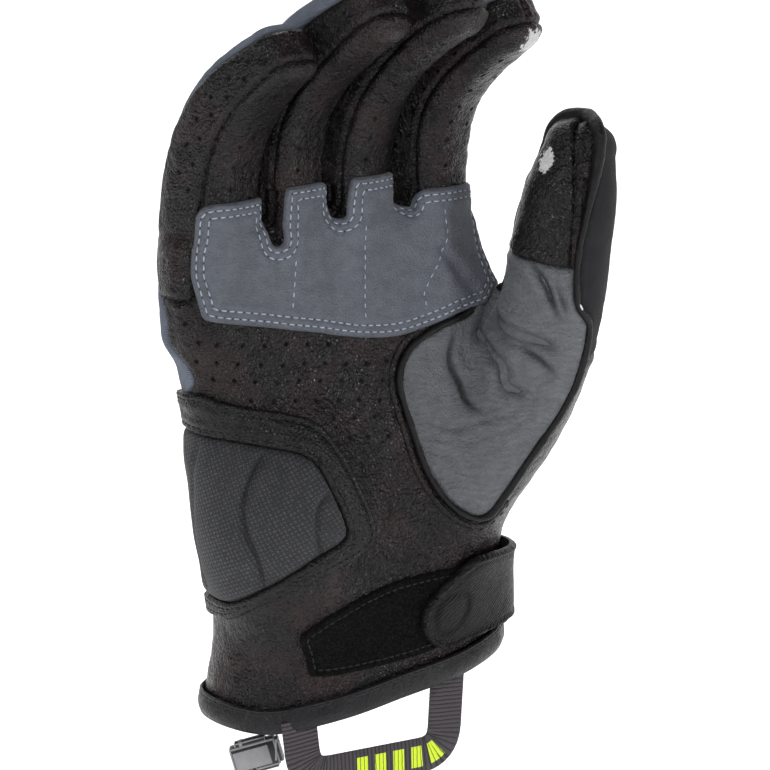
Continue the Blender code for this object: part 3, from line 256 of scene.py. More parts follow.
def tube_field(q, cap, expo=3.0, round_end=2.6):
    a, d = q[:, 4], q[:, 5]
    r = ((np.abs(q[:, 1]) / a)**expo + (np.abs(q[:, 2]) / d)**expo)**(1 / expo)
    h = np.abs(q[:, 3])
    r = (r**round_end + (h / cap)**round_end)**(1 / round_end)
    rho = np.sqrt(q[:, 1]**2 + q[:, 2]**2 + h**2) + 1e-9
    return rho * (1 - 1 / np.maximum(r, 1e-6))


def palm_coords(P):
    rows = np.asarray(PALM_ROWS, float)
    z = np.minimum(P[:, 2], PALM_TOP)
    col = [smooth_curve(rows[:, 0], rows[:, k], z) for k in range(1, 7)]
    x = P[:, 0] - col[0]
    y = P[:, 1] + col[5] * (x / col[1])**2
    return x, y, col[1], np.where(y < 0, col[2], col[3]), col[4]


def palm_field(P):
    x, y, a, d, n = palm_coords(P)
    r = ((np.abs(x) / a)**n + (np.abs(y) / d)**n)**(1 / n)
    h = np.maximum(P[:, 2] - PALM_TOP, 0)
    r = (r**2.4 + (h / PALM_CAP)**2.4)**(1 / 2.4)
    rho = np.sqrt(x**2 + y**2 + h**2) + 1e-9
    return rho * (1 - 1 / np.maximum(r, 1e-6))


PATHS = {name: finger_path(name) for name in FINGERS}
PATHS["thumb"] = thumb_path()


def slot_plane(P, pair):
    """Signed distance from the plane between two neighbours, + towards the second."""
    a = PATHS[pair[0]]
    b = PATHS[pair[1]]
    across = a["b"][0]
    ia = np.argmin(np.abs(a["s"]))
    ib = np.argmin(np.abs(b["s"]))
    ca, cb = a["c"][ia] @ across, b["c"][ib] @ across
    wa, wb = a["size"][ia, 0], b["size"][ib, 0]
    mid = ca + (cb - ca) * wa / (wa + wb)
    return P @ across - mid


def fingers_field(P):
    total = None
    for name in FINGERS:
        f = tube_field(tube_coords(P, PATHS[name]), CAP)
        for pair in SLOTS:
            if name == pair[0]:
                f = smax(f, slot_plane(P, pair) + SLOT_HALF, 2.0)
            elif name == pair[1]:
                f = smax(f, -slot_plane(P, pair) + SLOT_HALF, 2.0)
        total = f if total is None else np.minimum(total, f)
    return total


def field(P):
    f = palm_field(P)
    c, r = np.asarray(HEEL[0]), np.asarray(HEEL[1])
    o = (P - c) / r
    k = np.sqrt((o**2).sum(1)) + 1e-9
    heel = np.sqrt(((P - c)**2).sum(1)) * (1 - 1 / k)
    f = smin(f, heel, K_HEEL)
    f = smin(f, fingers_field(P), K_FINGER)
    thumb = tube_field(tube_coords(P, PATHS["thumb"]), THUMB_CAP, 2.5, 2.4)
    return smin(f, thumb, K_THUMB)


def gradient(P, h=0.05, f=None):
    f0 = field(P) if f is None else f
    g = np.stack([field(P + np.eye(3)[k] * h) - f0 for k in range(3)], -1) / h
    return f0, g


def surface_net(lo, hi, step):
    n = [int(np.ceil((hi[k] - lo[k]) / step)) + 1 for k in range(3)]
    ax = [lo[k] + step * np.arange(n[k]) for k in range(3)]
    # coarse pass finds which blocks hold the surface
    F = np.empty(n)
    X, Y = np.meshgrid(ax[0], ax[1], indexing="ij")
    coarse = 4
    F[:] = 1e3
    cx = [a[::coarse] for a in ax]
    G = np.stack(np.meshgrid(*cx, indexing="ij"), -1).reshape(-1, 3)
    fc = field(G).reshape([len(a) for a in cx])
    near = np.abs(fc) < step * coarse * 2.2
    keep = np.zeros(n, bool)
    idx = np.argwhere(near)
    for i, j, k in idx:
        keep[max(i * coarse - coarse, 0):i * coarse + coarse + 1, max(j * coarse - coarse, 0):j * coarse + coarse + 1, max(k * coarse - coarse, 0):k * coarse + coarse + 1] = True
    sign = np.repeat(np.repeat(np.repeat(np.sign(fc), coarse, 0), coarse, 1), coarse, 2)[:n[0], :n[1], :n[2]]
    F = sign * 1e3
    I = np.argwhere(keep)
    P = np.stack([ax[k][I[:, k]] for k in range(3)], -1)
    F[keep] = field(P)
    inside = F < 0
    n0, n1, n2 = n
    # active cells
    c = np.zeros((n0 - 1, n1 - 1, n2 - 1), int)
    for a in (0, 1):
        for b in (0, 1):
            for d in (0, 1):
                c += inside[a:n0 - 1 + a, b:n1 - 1 + b, d:n2 - 1 + d]
    act = (c > 0) & (c < 8)
    ids = -np.ones(act.shape, int)
    cells = np.argwhere(act)
    ids[act] = np.arange(len(cells))
    acc = np.zeros((len(cells), 3))
    cnt = np.zeros(len(cells))
    corners = [(a, b, d) for a in (0, 1) for b in (0, 1) for d in (0, 1)]
    for p in corners:
        for axis in range(3):
            if p[axis]:
                continue
            q = list(p)
            q[axis] = 1
            fp = F[cells[:, 0] + p[0], cells[:, 1] + p[1], cells[:, 2] + p[2]]
            fq = F[cells[:, 0] + q[0], cells[:, 1] + q[1], cells[:, 2] + q[2]]
            x = (fp < 0) != (fq < 0)
            t = np.where(x, fp / np.where(x, fp - fq, 1), 0)
            for k in range(3):
                v = p[k] + (t if k == axis else 0)
                acc[:, k] += np.where(x, v, 0)
            cnt += x
    V = np.stack([ax[k][cells[:, k]] for k in range(3)], -1) + step * acc / cnt[:, None]
    quads = []
    for axis in range(3):
        sl0 = [slice(None)] * 3
        sl1 = [slice(None)] * 3
        sl0[axis] = slice(0, n[axis] - 1)
        sl1[axis] = slice(1, n[axis])
        x = inside[tuple(sl0)] != inside[tuple(sl1)]
        e = np.argwhere(x)
        o1, o2 = (axis + 1) % 3, (axis + 2) % 3
        ok = (e[:, o1] > 0) & (e[:, o2] > 0) & (e[:, o1] < n[o1] - 1) & (e[:, o2] < n[o2] - 1)
        e = e[ok]
        flip = inside[tuple(e.T)]
        def cell(d1, d2):
            m = e.copy()
            m[:, o1] -= d1
            m[:, o2] -= d2
            return ids[tuple(m.T)]
        q = np.stack([cell(1, 1), cell(0, 1), cell(0, 0), cell(1, 0)], -1)
        q[~flip] = q[~flip][:, ::-1]
        quads.append(q)
    return V, np.concatenate(quads)


def settle(V, Q, rounds=3):
    """Even the vertices out along the surface and pull them onto it."""
    e = np.concatenate([Q[:, [0, 1]], Q[:, [1, 2]], Q[:, [2, 3]], Q[:, [3, 0]]])
    for _ in range(rounds):
        f, g = gradient(V)
        V = V - g * (f / np.maximum((g**2).sum(1), 0.2))[:, None]
        s = np.zeros_like(V)
        k = np.zeros(len(V))
        np.add.at(s, e[:, 0], V[e[:, 1]])
        np.add.at(s, e[:, 1], V[e[:, 0]])
        np.add.at(k, e[:, 0], 1)
        np.add.at(k, e[:, 1], 1)
        d = s / k[:, None] - V
        nrm = g / np.linalg.norm(g, axis=1)[:, None]
        V = V + 0.5 * (d - (d * nrm).sum(1)[:, None] * nrm)
    f, g = gradient(V)
    V = V - g * (f / np.maximum((g**2).sum(1), 0.2))[:, None]
    return V


def arc_table(flat=0.46, expo=2.35, n=721):
    t = np.radians(np.linspace(-180, 180, n))
    s, c = np.sin(t), np.cos(t)
    r = (np.abs(s)**expo + np.abs(c)**expo)**(-1 / expo)
    x, y = r * s, -r * c * flat
    d = np.concatenate([[0], np.cumsum(np.hypot(np.diff(x), np.diff(y)))])
    return np.degrees(t), d - np.interp(0, np.degrees(t), d)


ARC = arc_table()


def pattern(P):
    """Flat pattern coordinates of the hand: A round from the palm's middle, + to the thumb, and z."""
    x, y, a, d, n = palm_coords(P)
    th = np.degrees(np.arctan2(x / a, -y / d))
    return np.interp(th, ARC[0], ARC[1]) * a, -y / d


# ---- the form on a fine grid ----------------------------------------------------
def fingers_near(P):
    total = None
    for name in FINGERS:
        f = tube_field(tube_coords(P, PATHS[name]), CAP)
        for pair in SLOTS:
            if name == pair[0]:
                f = smax(f, slot_plane(P, pair) + SLOT_HALF, 2.0)
            elif name == pair[1]:
                f = smax(f, -slot_plane(P, pair) + SLOT_HALF, 2.0)
        total = f if total is None else np.minimum(total, f)
    return total


def part_of(P, near, value, far=60.0):
    out = np.full(len(P), far)
    if near.any():
        out[near] = value(P[near])
    return out


def field(P):
    f = palm_field(P)
    c, r = np.asarray(HEEL[0]), np.asarray(HEEL[1])
    o = (P - c) / r
    k = np.sqrt((o**2).sum(1)) + 1e-9
    heel = np.sqrt(((P - c)**2).sum(1)) * (1 - 1 / k)
    f = smin(f, heel, K_HEEL)
    f = smin(f, part_of(P, P[:, 2] > 106, fingers_near), K_FINGER)
    thumb = part_of(P, P[:, 0] > -22, lambda Q: tube_field(tube_coords(Q, PATHS["thumb"]), THUMB_CAP, 2.5, 2.4))
    return smin(f, thumb, K_THUMB)


def edges_of(f):
    return np.concatenate([f[:, [0, 1]], f[:, [1, 2]], f[:, [2, 0]]])


def in_chunks(function, P, size=60000):
    return np.concatenate([function(P[i:i + size]) for i in range(0, len(P), size)])


class Sheet:
    """The outer surface as triangles, with a panel label on each. Seams lie on mesh edges."""

    def __init__(self, p, f, lab=None, names=("palm_leather",)):
        self.p, self.f = p, f
        self.lab = np.zeros(len(f), int) if lab is None else lab
        self.names = list(names)
        self.fixed = np.zeros(len(p), bool)

    def copy(self):
        s = Sheet(self.p.copy(), self.f.copy(), self.lab.copy(), self.names)
        return s

    def cut(self, phi, sources, name):
        if name not in self.names:
            self.names.append(name)
        new = self.names.index(name)
        src = np.isin(self.lab, [self.names.index(s) for s in sources])
        f = self.f[src]
        used = np.unique(f)
        v = np.zeros(len(self.p))
        v[used] = in_chunks(phi, self.p[used])
        raw = v.copy()
        e = np.unique(np.sort(edges_of(f), axis=1), axis=0)
        e = e[v[e[:, 0]] * v[e[:, 1]] < 0]
        t = v[e[:, 0]] / (v[e[:, 0]] - v[e[:, 1]])
        later = t > 0.5
        w, o, d = np.where(later, e[:, 1], e[:, 0]), np.where(later, e[:, 0], e[:, 1]), np.where(later, 1 - t, t)
        swap = self.fixed[w] & ~self.fixed[o] & (d > 0.2)
        w, o, d = np.where(swap, o, w), np.where(swap, w, o), np.where(swap, 1 - d, d)
        order = np.argsort(-d)
        w, o, d = w[order], o[order], d[order]
        free = ~self.fixed[w]
        goal = self.p[w] + (self.p[o] - self.p[w]) * d[:, None]
        self.p[w[free]] = goal[free]
        v[w] = 0
        side = v[f]
        strong = side[np.arange(len(side)), np.abs(side).argmax(1)]
        strong = np.where(strong == 0, raw[f].mean(1), strong)
        lab = self.lab[src]
        lab[strong > 0] = new
        self.lab[src] = lab
        self.fixed[self.seam()] = True

    def seam_edges(self):
        e, lab = np.sort(edges_of(self.f), axis=1), np.tile(self.lab, 3)
        order = np.lexsort((e[:, 1], e[:, 0]))
        e, lab = e[order], lab[order]
        same = (e[1:] == e[:-1]).all(1)
        at = np.where(same & (lab[1:] != lab[:-1]))[0]
        alone = np.ones(len(e), bool)
        alone[1:][same] = False
        alone[:-1][same] = False
        return e[at], e[alone]

    def seam(self):
        inner, rim = self.seam_edges()
        return np.unique(np.concatenate([inner, rim]))

    def tidy(self, least=60):
        """Small islands join the panel around them."""
        for _ in range(3):
            e, owner = np.sort(edges_of(self.f), axis=1), np.tile(np.arange(len(self.f)), 3)
            order = np.lexsort((e[:, 1], e[:, 0]))
            e, owner = e[order], owner[order]
            at = np.where((e[1:] == e[:-1]).all(1))[0]
            a, b = owner[at], owner[at + 1]
            same = self.lab[a] == self.lab[b]
            isle = np.arange(len(self.f))
            while True:
                low = np.minimum(isle[a[same]], isle[b[same]])
                before = isle.copy()
                np.minimum.at(isle, a[same], low)
                np.minimum.at(isle, b[same], low)
                isle = isle[isle]
                if (isle == before).all():
                    break
            count = np.bincount(isle, minlength=len(isle))
            small = count[isle] < least
            if not small.any():
                return
            cross = ~same
            for x, y in ((a[cross], b[cross]), (b[cross], a[cross])):
                ok = small[x] & ~small[y]
                vote = {}
                for i, l in zip(isle[x[ok]].tolist(), self.lab[y[ok]].tolist()):
                    vote.setdefault(i, {}).setdefault(l, 0)
                    vote[i][l] += 1
                for i, votes in vote.items():
                    self.lab[isle == i] = max(votes, key=votes.get)

    def smooth_seams(self, rounds=4):
        inner, rim = self.seam_edges()
        count = np.bincount(inner.ravel(), minlength=len(self.p))
        locked = np.zeros(len(self.p), bool)
        locked[rim.ravel()] = True
        free = (count == 2) & ~locked
        for _ in range(rounds):
            s = np.zeros_like(self.p)
            np.add.at(s, inner[:, 0], self.p[inner[:, 1]])
            np.add.at(s, inner[:, 1], self.p[inner[:, 0]])
            self.p[free] = 0.5 * self.p[free] + 0.25 * s[free]

    def finer(self):
        """Each triangle in four, with the new points at the middles of the edges."""
        e, back = np.unique(np.sort(edges_of(self.f), axis=1), axis=0, return_inverse=True)
        back = back.reshape(-1)
        n, m = len(self.p), len(self.f)
        mid = (self.p[e[:, 0]] + self.p[e[:, 1]]) / 2
        ab, bc, ca = n + back[:m], n + back[m:2 * m], n + back[2 * m:]
        a, b, c = self.f.T
        f = np.stack([np.stack([a, ab, ca], 1), np.stack([ab, b, bc], 1), np.stack([ca, bc, c], 1), np.stack([ab, bc, ca], 1)], 1).reshape(-1, 3)
        s = Sheet(np.concatenate([self.p, mid]), f, np.repeat(self.lab, 4), self.names)
        s.mids = dict(zip(map(tuple, e.tolist()), range(n, n + len(e))))
        return s


def drawn_on(V, rounds=1):
    for _ in range(rounds):
        f = in_chunks(field, V)
        g = np.stack([in_chunks(field, V + np.eye(3)[k] * 0.05) - f for k in range(3)], -1) / 0.05
        V = V - g * (f / np.maximum((g**2).sum(1), 0.2))[:, None]
    n = g / np.linalg.norm(g, axis=1)[:, None]
    return V, n


def averaged(n, f, count, rounds=2):
    e = np.unique(np.sort(edges_of(f), axis=1), axis=0)
    for _ in range(rounds):
        s = n.copy()
        np.add.at(s, e[:, 0], n[e[:, 1]])
        np.add.at(s, e[:, 1], n[e[:, 0]])
        n = s / np.maximum(np.linalg.norm(s, axis=1), 1e-9)[:, None]
    return n


def distances(points, to):
    """From each point to the nearest of the others."""
    tree = KDTree(len(to))
    for i, q in enumerate(to):
        tree.insert(q, i)
    tree.balance()
    find = tree.find
    return np.array([find(q)[2] for q in points])


def hashed(i, j, k, seed):
    h = (i * 73856093) ^ (j * 19349663) ^ (k * 83492791) ^ (seed * 2654435761)
    h = (h ^ (h >> 13)) * 1274126177
    return ((h ^ (h >> 16)) & 0xFFFF) / 65535.0


def noise(P, scale, seed=1):
    """Smooth value noise, -1 to 1; scale is in mm, one number or one for each axis."""
    q = P / np.asarray(scale, float) + 500.0
    i = np.floor(q).astype(np.int64)
    t = q - i
    t = t * t * (3 - 2 * t)
    total = 0
    for a in (0, 1):
        for b in (0, 1):
            for c in (0, 1):
                w = (t[:, 0] if a else 1 - t[:, 0]) * (t[:, 1] if b else 1 - t[:, 1]) * (t[:, 2] if c else 1 - t[:, 2])
                total = total + w * hashed(i[:, 0] + a, i[:, 1] + b, i[:, 2] + c, seed)
    return total * 2 - 1


def bump_of(x, width):
    return np.exp(-(x / width)**2)


def along_line(P, rows):
    """Distance to a line of points, and how far along it, 0 to 1."""
    p = np.asarray(rows, float)
    seg = np.linalg.norm(np.diff(p, axis=0), axis=1)
    s = np.concatenate([[0], np.cumsum(seg)]) / seg.sum()
    best, where = np.full(len(P), 1e9), np.zeros(len(P))
    for a, b, s0, s1 in zip(p[:-1], p[1:], s[:-1], s[1:]):
        e = b - a
        t = np.clip(((P - a) @ e) / (e @ e), 0, 1)
        d = np.linalg.norm(P - a - t[:, None] * e, axis=1)
        near = d < best
        best, where = np.where(near, d, best), np.where(near, s0 + (s1 - s0) * t, where)
    return best, where


def smooth_line(rows, step=1.0, dims=3):
    p = np.asarray(rows, float)[:, :dims]
    if len(p) < 3:
        p = np.stack([p[0], (p[0] + p[-1]) / 2, p[-1]])
    s = np.concatenate([[0], np.cumsum(np.linalg.norm(np.diff(p, axis=0), axis=1))])
    t = np.linspace(0, s[-1], max(int(s[-1] / step), 4) + 1)
    return np.stack([smooth_curve(s, p[:, k], t) for k in range(dims)], -1)


# ---- objects ---------------------------------------------------------------------
def new_object(name, verts, faces, material, uv=None, values=None, smooth_angle=50, join=True):
    mesh = bpy.data.meshes.new(name)
    faces = faces.tolist() if isinstance(faces, np.ndarray) else faces
    mesh.from_pydata((np.asarray(verts) * MM).tolist(), [], faces)
    for m in (material if isinstance(material, (list, tuple)) else [material]):
        mesh.materials.append(m)
    if uv is not None:
        loops = np.empty(len(mesh.loops), np.int32)
        mesh.loops.foreach_get("vertex_index", loops)
        mesh.uv_layers.new(name="pattern").uv.foreach_set("vector", (np.asarray(uv)[loops] * 0.1).astype(np.float32).ravel())
    for key, value in (values or {}).items():
        mesh.attributes.new(key, "FLOAT", "POINT").data.foreach_set("value", np.asarray(value, np.float32))
    mesh.shade_smooth()
    if smooth_angle:
        mesh.set_sharp_from_angle(angle=math.radians(smooth_angle))
    obj = bpy.data.objects.new(name, mesh)
    bpy.context.scene.collection.objects.link(obj)
    return obj


def wall(sheet, fine, low, high, chosen):
    """A closed wall: the fine outer side, the coarse inner side and the edges between them.

    sheet holds the coarse faces and fine its finer copy; low and high are points for the
    inner side (coarse) and the outer side (fine)."""
    coarse = sheet.f[chosen]
    outer = fine.f[(chosen[:, None] * 4 + np.arange(4)).ravel()]
    top_used, top = np.unique(outer, return_inverse=True)
    low_used, under = np.unique(coarse, return_inverse=True)
    n_top = len(top_used)
    faces = top.reshape(-1, 3).tolist()
    faces += (under.reshape(-1, 3)[:, ::-1] + n_top).tolist()
    top_at = dict(zip(top_used.tolist(), range(n_top)))
    low_at = dict(zip(low_used.tolist(), range(n_top, n_top + len(low_used))))
    e = edges_of(coarse)
    key = np.sort(e, axis=1)
    _, first, count = np.unique(key, axis=0, return_index=True, return_counts=True)
    for a, b in e[first[count == 1]].tolist():
        m = fine.mids[(min(a, b), max(a, b))]
        faces.append([top_at[b], top_at[m], top_at[a], low_at[a], low_at[b]])
    return np.concatenate([high[top_used], low[low_used]]), faces, top_used, low_used


def slab(p, f, low, high, normals):
    """A closed slab over these faces, both sides as fine as the faces."""
    used, g = np.unique(f, return_inverse=True)
    g = g.reshape(-1, 3)
    n = len(used)
    e = edges_of(g)
    _, first, count = np.unique(np.sort(e, axis=1), axis=0, return_index=True, return_counts=True)
    a, b = e[first[count == 1]].T
    sides = np.stack([b, a, a + n, b + n], 1)
    faces = g.tolist() + (g[:, ::-1] + n).tolist() + sides.tolist()
    verts = np.concatenate([p[used] + normals[used] * high[used, None], p[used] + normals[used] * low[used, None]])
    return verts, faces, used


def rim_of(f):
    e = edges_of(f)
    _, first, count = np.unique(np.sort(e, axis=1), axis=0, return_index=True, return_counts=True)
    return e[first[count == 1]]


def contours(p, n, f, value, level, least=6.0):
    """Lines on a surface where the value is level: for each, its points and the normals there."""
    v = value[f] - level
    crossing = (v.min(1) < 0) & (v.max(1) >= 0)
    ends = {}
    for tri, val in zip(f[crossing].tolist(), v[crossing].tolist()):
        cut = []
        for i in range(3):
            j = (i + 1) % 3
            if (val[i] < 0) != (val[j] < 0):
                a, b = tri[i], tri[j]
                t = val[i] / (val[i] - val[j])
                if a > b:
                    a, b, t = b, a, 1 - t
                cut.append(((a, b), t))
        if len(cut) == 2:
            (k1, t1), (k2, t2) = cut
            ends.setdefault(k1, [t1, []])[1].append(k2)
            ends.setdefault(k2, [t2, []])[1].append(k1)
    done, lines = set(), []
    starts = [k for k, (t, near) in ends.items() if len(near) == 1] + list(ends)
    for start in starts:
        if start in done:
            continue
        chain, at = [start], start
        done.add(start)
        while True:
            ahead = [k for k in ends[at][1] if k not in done]
            if not ahead:
                break
            at = ahead[0]
            done.add(at)
            chain.append(at)
        closed = len(chain) > 2 and start in ends[chain[-1]][1]
        a, b = np.array(chain).T
        t = np.array([ends[k][0] for k in chain])[:, None]
        q = p[a] * (1 - t) + p[b] * t
        m = n[a] * (1 - t) + n[b] * t
        if closed:
            q, m = np.concatenate([q, q[:1]]), np.concatenate([m, m[:1]])
        if np.linalg.norm(np.diff(q, axis=0), axis=1).sum() >= least:
            lines.append((q, m))
    return lines


def evened(q, m, step):
    """Points at even steps along a line, smoothed, with normals and directions."""
    for _ in range(3):
        q = q.copy()
        q[1:-1] = (q[:-2] + 2 * q[1:-1] + q[2:]) / 4
    s = np.concatenate([[0], np.cumsum(np.linalg.norm(np.diff(q, axis=0), axis=1))])
    count = max(int(round(s[-1] / step)), 1)
    t = (np.arange(count) + 0.5) / count * s[-1]
    at = np.stack([np.interp(t, s, q[:, k]) for k in range(3)], -1)
    nm = np.stack([np.interp(t, s, m[:, k]) for k in range(3)], -1)
    ahead = np.stack([np.interp(t + 0.4, s, q[:, k]) - np.interp(t - 0.4, s, q[:, k]) for k in range(3)], -1)
    ahead /= np.maximum(np.linalg.norm(ahead, axis=1), 1e-9)[:, None]
    nm /= np.maximum(np.linalg.norm(nm, axis=1), 1e-9)[:, None]
    return at, nm, ahead


class Bits:
    """Many small copies of simple shapes, joined."""

    def __init__(self):
        self.v, self.f, self.n = [], [], 0

    def put(self, shape, origin, x, y, z, size):
        verts, faces = shape
        frame = np.stack([x * size[0], y * size[1], z * size[2]])
        self.v.append(verts @ frame + origin)
        self.f.append(faces + self.n)
        self.n += len(verts)

    def made(self, name, material):
        faces = [q[:3] if q[2] == q[3] else q for q in np.concatenate(self.f).tolist()]
        return new_object(name, np.concatenate(self.v), faces, material, smooth_angle=None)


def stitch_shape(sides=6, rings=5):
    """A thread's visible loop: along x from -1 to 1, thicker in the middle, bent down at its ends."""
    verts = []
    for i in range(rings):
        u = -1 + 2 * i / (rings - 1)
        r = math.sqrt(max(1 - abs(u)**3.0, 0.04))
        for k in range(sides):
            a = 2 * math.pi * k / sides
            verts.append((u, r * math.cos(a), r * math.sin(a) - 1.5 * max(abs(u) - 0.45, 0)))
    faces = []
    for i in range(rings - 1):
        for k in range(sides):
            l = (k + 1) % sides
            faces.append((i * sides + k, i * sides + l, (i + 1) * sides + l, (i + 1) * sides + k))
    top = len(verts)
    verts += [(-1.0, 0.0, -0.85), (1.0, 0.0, -0.85)]
    for k in range(sides):
        l = (k + 1) % sides
        faces.append((l, k, top, top))
        faces.append(((rings - 1) * sides + k, (rings - 1) * sides + l, top + 1, top + 1))
    return np.array(verts), np.array(faces)


# ---- materials --------------------------------------------------------------------
def srgb(r, g, b):
    f = lambda c: c / 12.92 if c <= 0.04045 else ((c + 0.055) / 1.055)**2.4
    return (f(r / 255), f(g / 255), f(b / 255), 1.0)


class Look:
    """A material built up from nodes on one Principled shader."""

    def __init__(self, name, color, rough, metallic=0.0, specular=0.5, sheen=0.0, sheen_rough=0.5, sheen_tint=None, coat=0.0):
        self.m = bpy.data.materials.new(name)
        self.m.use_nodes = True
        self.t = self.m.node_tree
        self.b = self.t.nodes["Principled BSDF"]
        self.b.inputs["Base Color"].default_value = color
        self.b.inputs["Roughness"].default_value = rough
        self.b.inputs["Metallic"].default_value = metallic
        self.b.inputs["Specular IOR Level"].default_value = specular
        self.b.inputs["Sheen Weight"].default_value = sheen
        self.b.inputs["Sheen Roughness"].default_value = sheen_rough
        self.b.inputs["Sheen Tint"].default_value = sheen_tint or (1, 1, 1, 1)
        self.b.inputs["Coat Weight"].default_value = coat
        self.m.diffuse_color = color
        self.color = color
        self.rough = rough
        coord = self.t.nodes.new("ShaderNodeTexCoord")
        self.place = self.math_vec("MULTIPLY", coord.outputs["Object"], (1000, 1000, 1000))
        self.color_out = None
        self.rough_out = None
        self.height = None

    def link(self, a, b):
        self.t.links.new(a, b)

    def math_vec(self, op, a, b):
        n = self.t.nodes.new("ShaderNodeVectorMath")
        n.operation = op
        self.feed(n.inputs[0], a)
        self.feed(n.inputs[1], b)
        return n.outputs[0]

    def feed(self, socket, value):
        if isinstance(value, bpy.types.NodeSocket):
            self.link(value, socket)
        else:
            socket.default_value = value

    def math(self, op, a, b=0.0, c=0.0, clamp=False):
        n = self.t.nodes.new("ShaderNodeMath")
        n.operation = op
        n.use_clamp = clamp
        for i, v in enumerate((a, b, c)):
            self.feed(n.inputs[i], v)
        return n.outputs[0]

    def ramp(self, x, low, high, out_low=0.0, out_high=1.0):
        n = self.t.nodes.new("ShaderNodeMapRange")
        n.interpolation_type = "SMOOTHSTEP"
        for i, v in enumerate((x, low, high, out_low, out_high)):
            self.feed(n.inputs[i], v)
        return n.outputs[0]

    def noise(self, scale, detail=2.0, rough=0.5, where=None, distortion=0.0):
        n = self.t.nodes.new("ShaderNodeTexNoise")
        self.link(where or self.place, n.inputs["Vector"])
        n.inputs["Scale"].default_value = scale
        n.inputs["Detail"].default_value = detail
        n.inputs["Roughness"].default_value = rough
        n.inputs["Distortion"].default_value = distortion
        return n.outputs["Fac"]

    def cells(self, scale, feature="F1", where=None, output="Distance", random=1.0):
        n = self.t.nodes.new("ShaderNodeTexVoronoi")
        n.feature = feature
        self.link(where or self.place, n.inputs["Vector"])
        n.inputs["Scale"].default_value = scale
        n.inputs["Randomness"].default_value = random
        return n.outputs[output]

    def value(self, name):
        n = self.t.nodes.new("ShaderNodeAttribute")
        n.attribute_name = name
        return n.outputs["Fac"]

    def flat(self, scale=(10.0, 10.0, 1.0)):
        """The flat pattern coordinates, in mm."""
        n = self.t.nodes.new("ShaderNodeUVMap")
        n.uv_map = "pattern"
        return self.math_vec("MULTIPLY", n.outputs[0], scale)

    def apart(self, vector):
        n = self.t.nodes.new("ShaderNodeSeparateXYZ")
        self.link(vector, n.inputs[0])
        return n.outputs[0], n.outputs[1], n.outputs[2]

    def together(self, x, y, z=0.0):
        n = self.t.nodes.new("ShaderNodeCombineXYZ")
        for i, v in enumerate((x, y, z)):
            self.feed(n.inputs[i], v)
        return n.outputs[0]

    def tint(self, factor, color, mode="MIX"):
        n = self.t.nodes.new("ShaderNodeMix")
        n.data_type = "RGBA"
        n.blend_type = mode
        self.feed(n.inputs["Factor"], factor)
        self.feed(n.inputs[6], self.color_out or self.color)
        self.feed(n.inputs[7], color)
        self.color_out = n.outputs[2]

    def shade(self, factor):
        """Multiplies the colour by a number."""
        n = self.t.nodes.new("ShaderNodeVectorMath")
        n.operation = "SCALE"
        self.feed(n.inputs[0], self.color_out or tuple(self.color[:3]))
        self.feed(n.inputs["Scale"], factor)
        self.color_out = n.outputs[0]

    def raise_by(self, height, amount):
        part = self.math("MULTIPLY", height, amount)
        self.height = part if self.height is None else self.math("ADD", self.height, part)

    def roughen(self, value):
        self.rough_out = value

    def done(self, strength=1.0):
        if self.color_out is not None:
            self.link(self.color_out, self.b.inputs["Base Color"])
        if self.rough_out is not None:
            self.link(self.rough_out, self.b.inputs["Roughness"])
        if self.height is not None:
            n = self.t.nodes.new("ShaderNodeBump")
            n.inputs["Strength"].default_value = strength
            n.inputs["Distance"].default_value = 0.001  # heights are in mm
            self.link(self.height, n.inputs["Height"])
            self.link(n.outputs[0], self.b.inputs["Normal"])
        return self.m


def leather(name, color, rough=0.42, grain=0.98, depth=0.13, crease=0.22, sheen=0.0, specular=0.22, wear=0.3, holes=False, warm=None):
    k = Look(name, color, rough, specular=specular, sheen=sheen, sheen_rough=0.45)
    soft = k.noise(0.35, 3.0)
    bent = k.math_vec("ADD", k.place, k.together(k.math("MULTIPLY", soft, 1.6), k.math("MULTIPLY", k.noise(0.3, 2.0), 1.6), 0.0))
    pebble = k.cells(grain, where=bent)
    fine = k.cells(grain * 2.3, where=bent)
    gap = k.cells(grain, "DISTANCE_TO_EDGE", where=bent)
    lines = k.ramp(gap, 0.0, 0.26)
    k.raise_by(lines, depth * 0.5)
    k.raise_by(fine, -depth * 0.12)
    k.raise_by(k.math("MULTIPLY", pebble, pebble), -depth * 1.1)
    fold = k.noise(0.16, 4.0, 0.62, distortion=0.6)
    ridge = k.math("ABSOLUTE", k.math("SUBTRACT", fold, 0.5))
    k.raise_by(k.ramp(ridge, 0.0, 0.09), crease)
    k.raise_by(k.noise(0.09, 3.0), crease * 3.5)
    k.shade(k.math("MULTIPLY", k.ramp(soft, 0.25, 0.75, 0.82, 1.18), k.ramp(lines, 0.0, 1.0, 0.8, 1.04)))
    if warm:
        k.tint(k.math("MULTIPLY", k.ramp(k.noise(0.06, 2.0), 0.45, 0.65), 0.55), warm)
    # rubbed lighter along its edges and seams
    edge = k.value("edge")
    rub = k.math("MULTIPLY", k.ramp(edge, 0.0, 1.6, 1.0, 0.0), k.ramp(k.noise(0.5, 3.0), 0.4, 0.65))
    k.shade(k.math("ADD", k.math("MULTIPLY", rub, wear), 1.0))
    # painted shade: darker in the seam grooves, folds and slots, by the crease value
    k.shade(k.ramp(k.value("crease"), 0.0, 1.0, 1.0, 0.35))
    r = k.math("ADD", k.ramp(k.noise(0.8, 3.0), 0.3, 0.7, rough - 0.08, rough + 0.1), k.math("MULTIPLY", k.ramp(gap, 0.0, 0.12, 1.0, 0.0), 0.12))
    if holes:
        # painted shade: the perforations are only dents, so the near-black stands in for the dark inside of the open
        # holes
        pit = k.ramp(k.value("hole"), 0.12, 0.3)
        k.tint(pit, (0.002, 0.002, 0.002, 1))
        r = k.math("ADD", r, k.math("MULTIPLY", pit, 0.4))
    k.roughen(r)
    return k


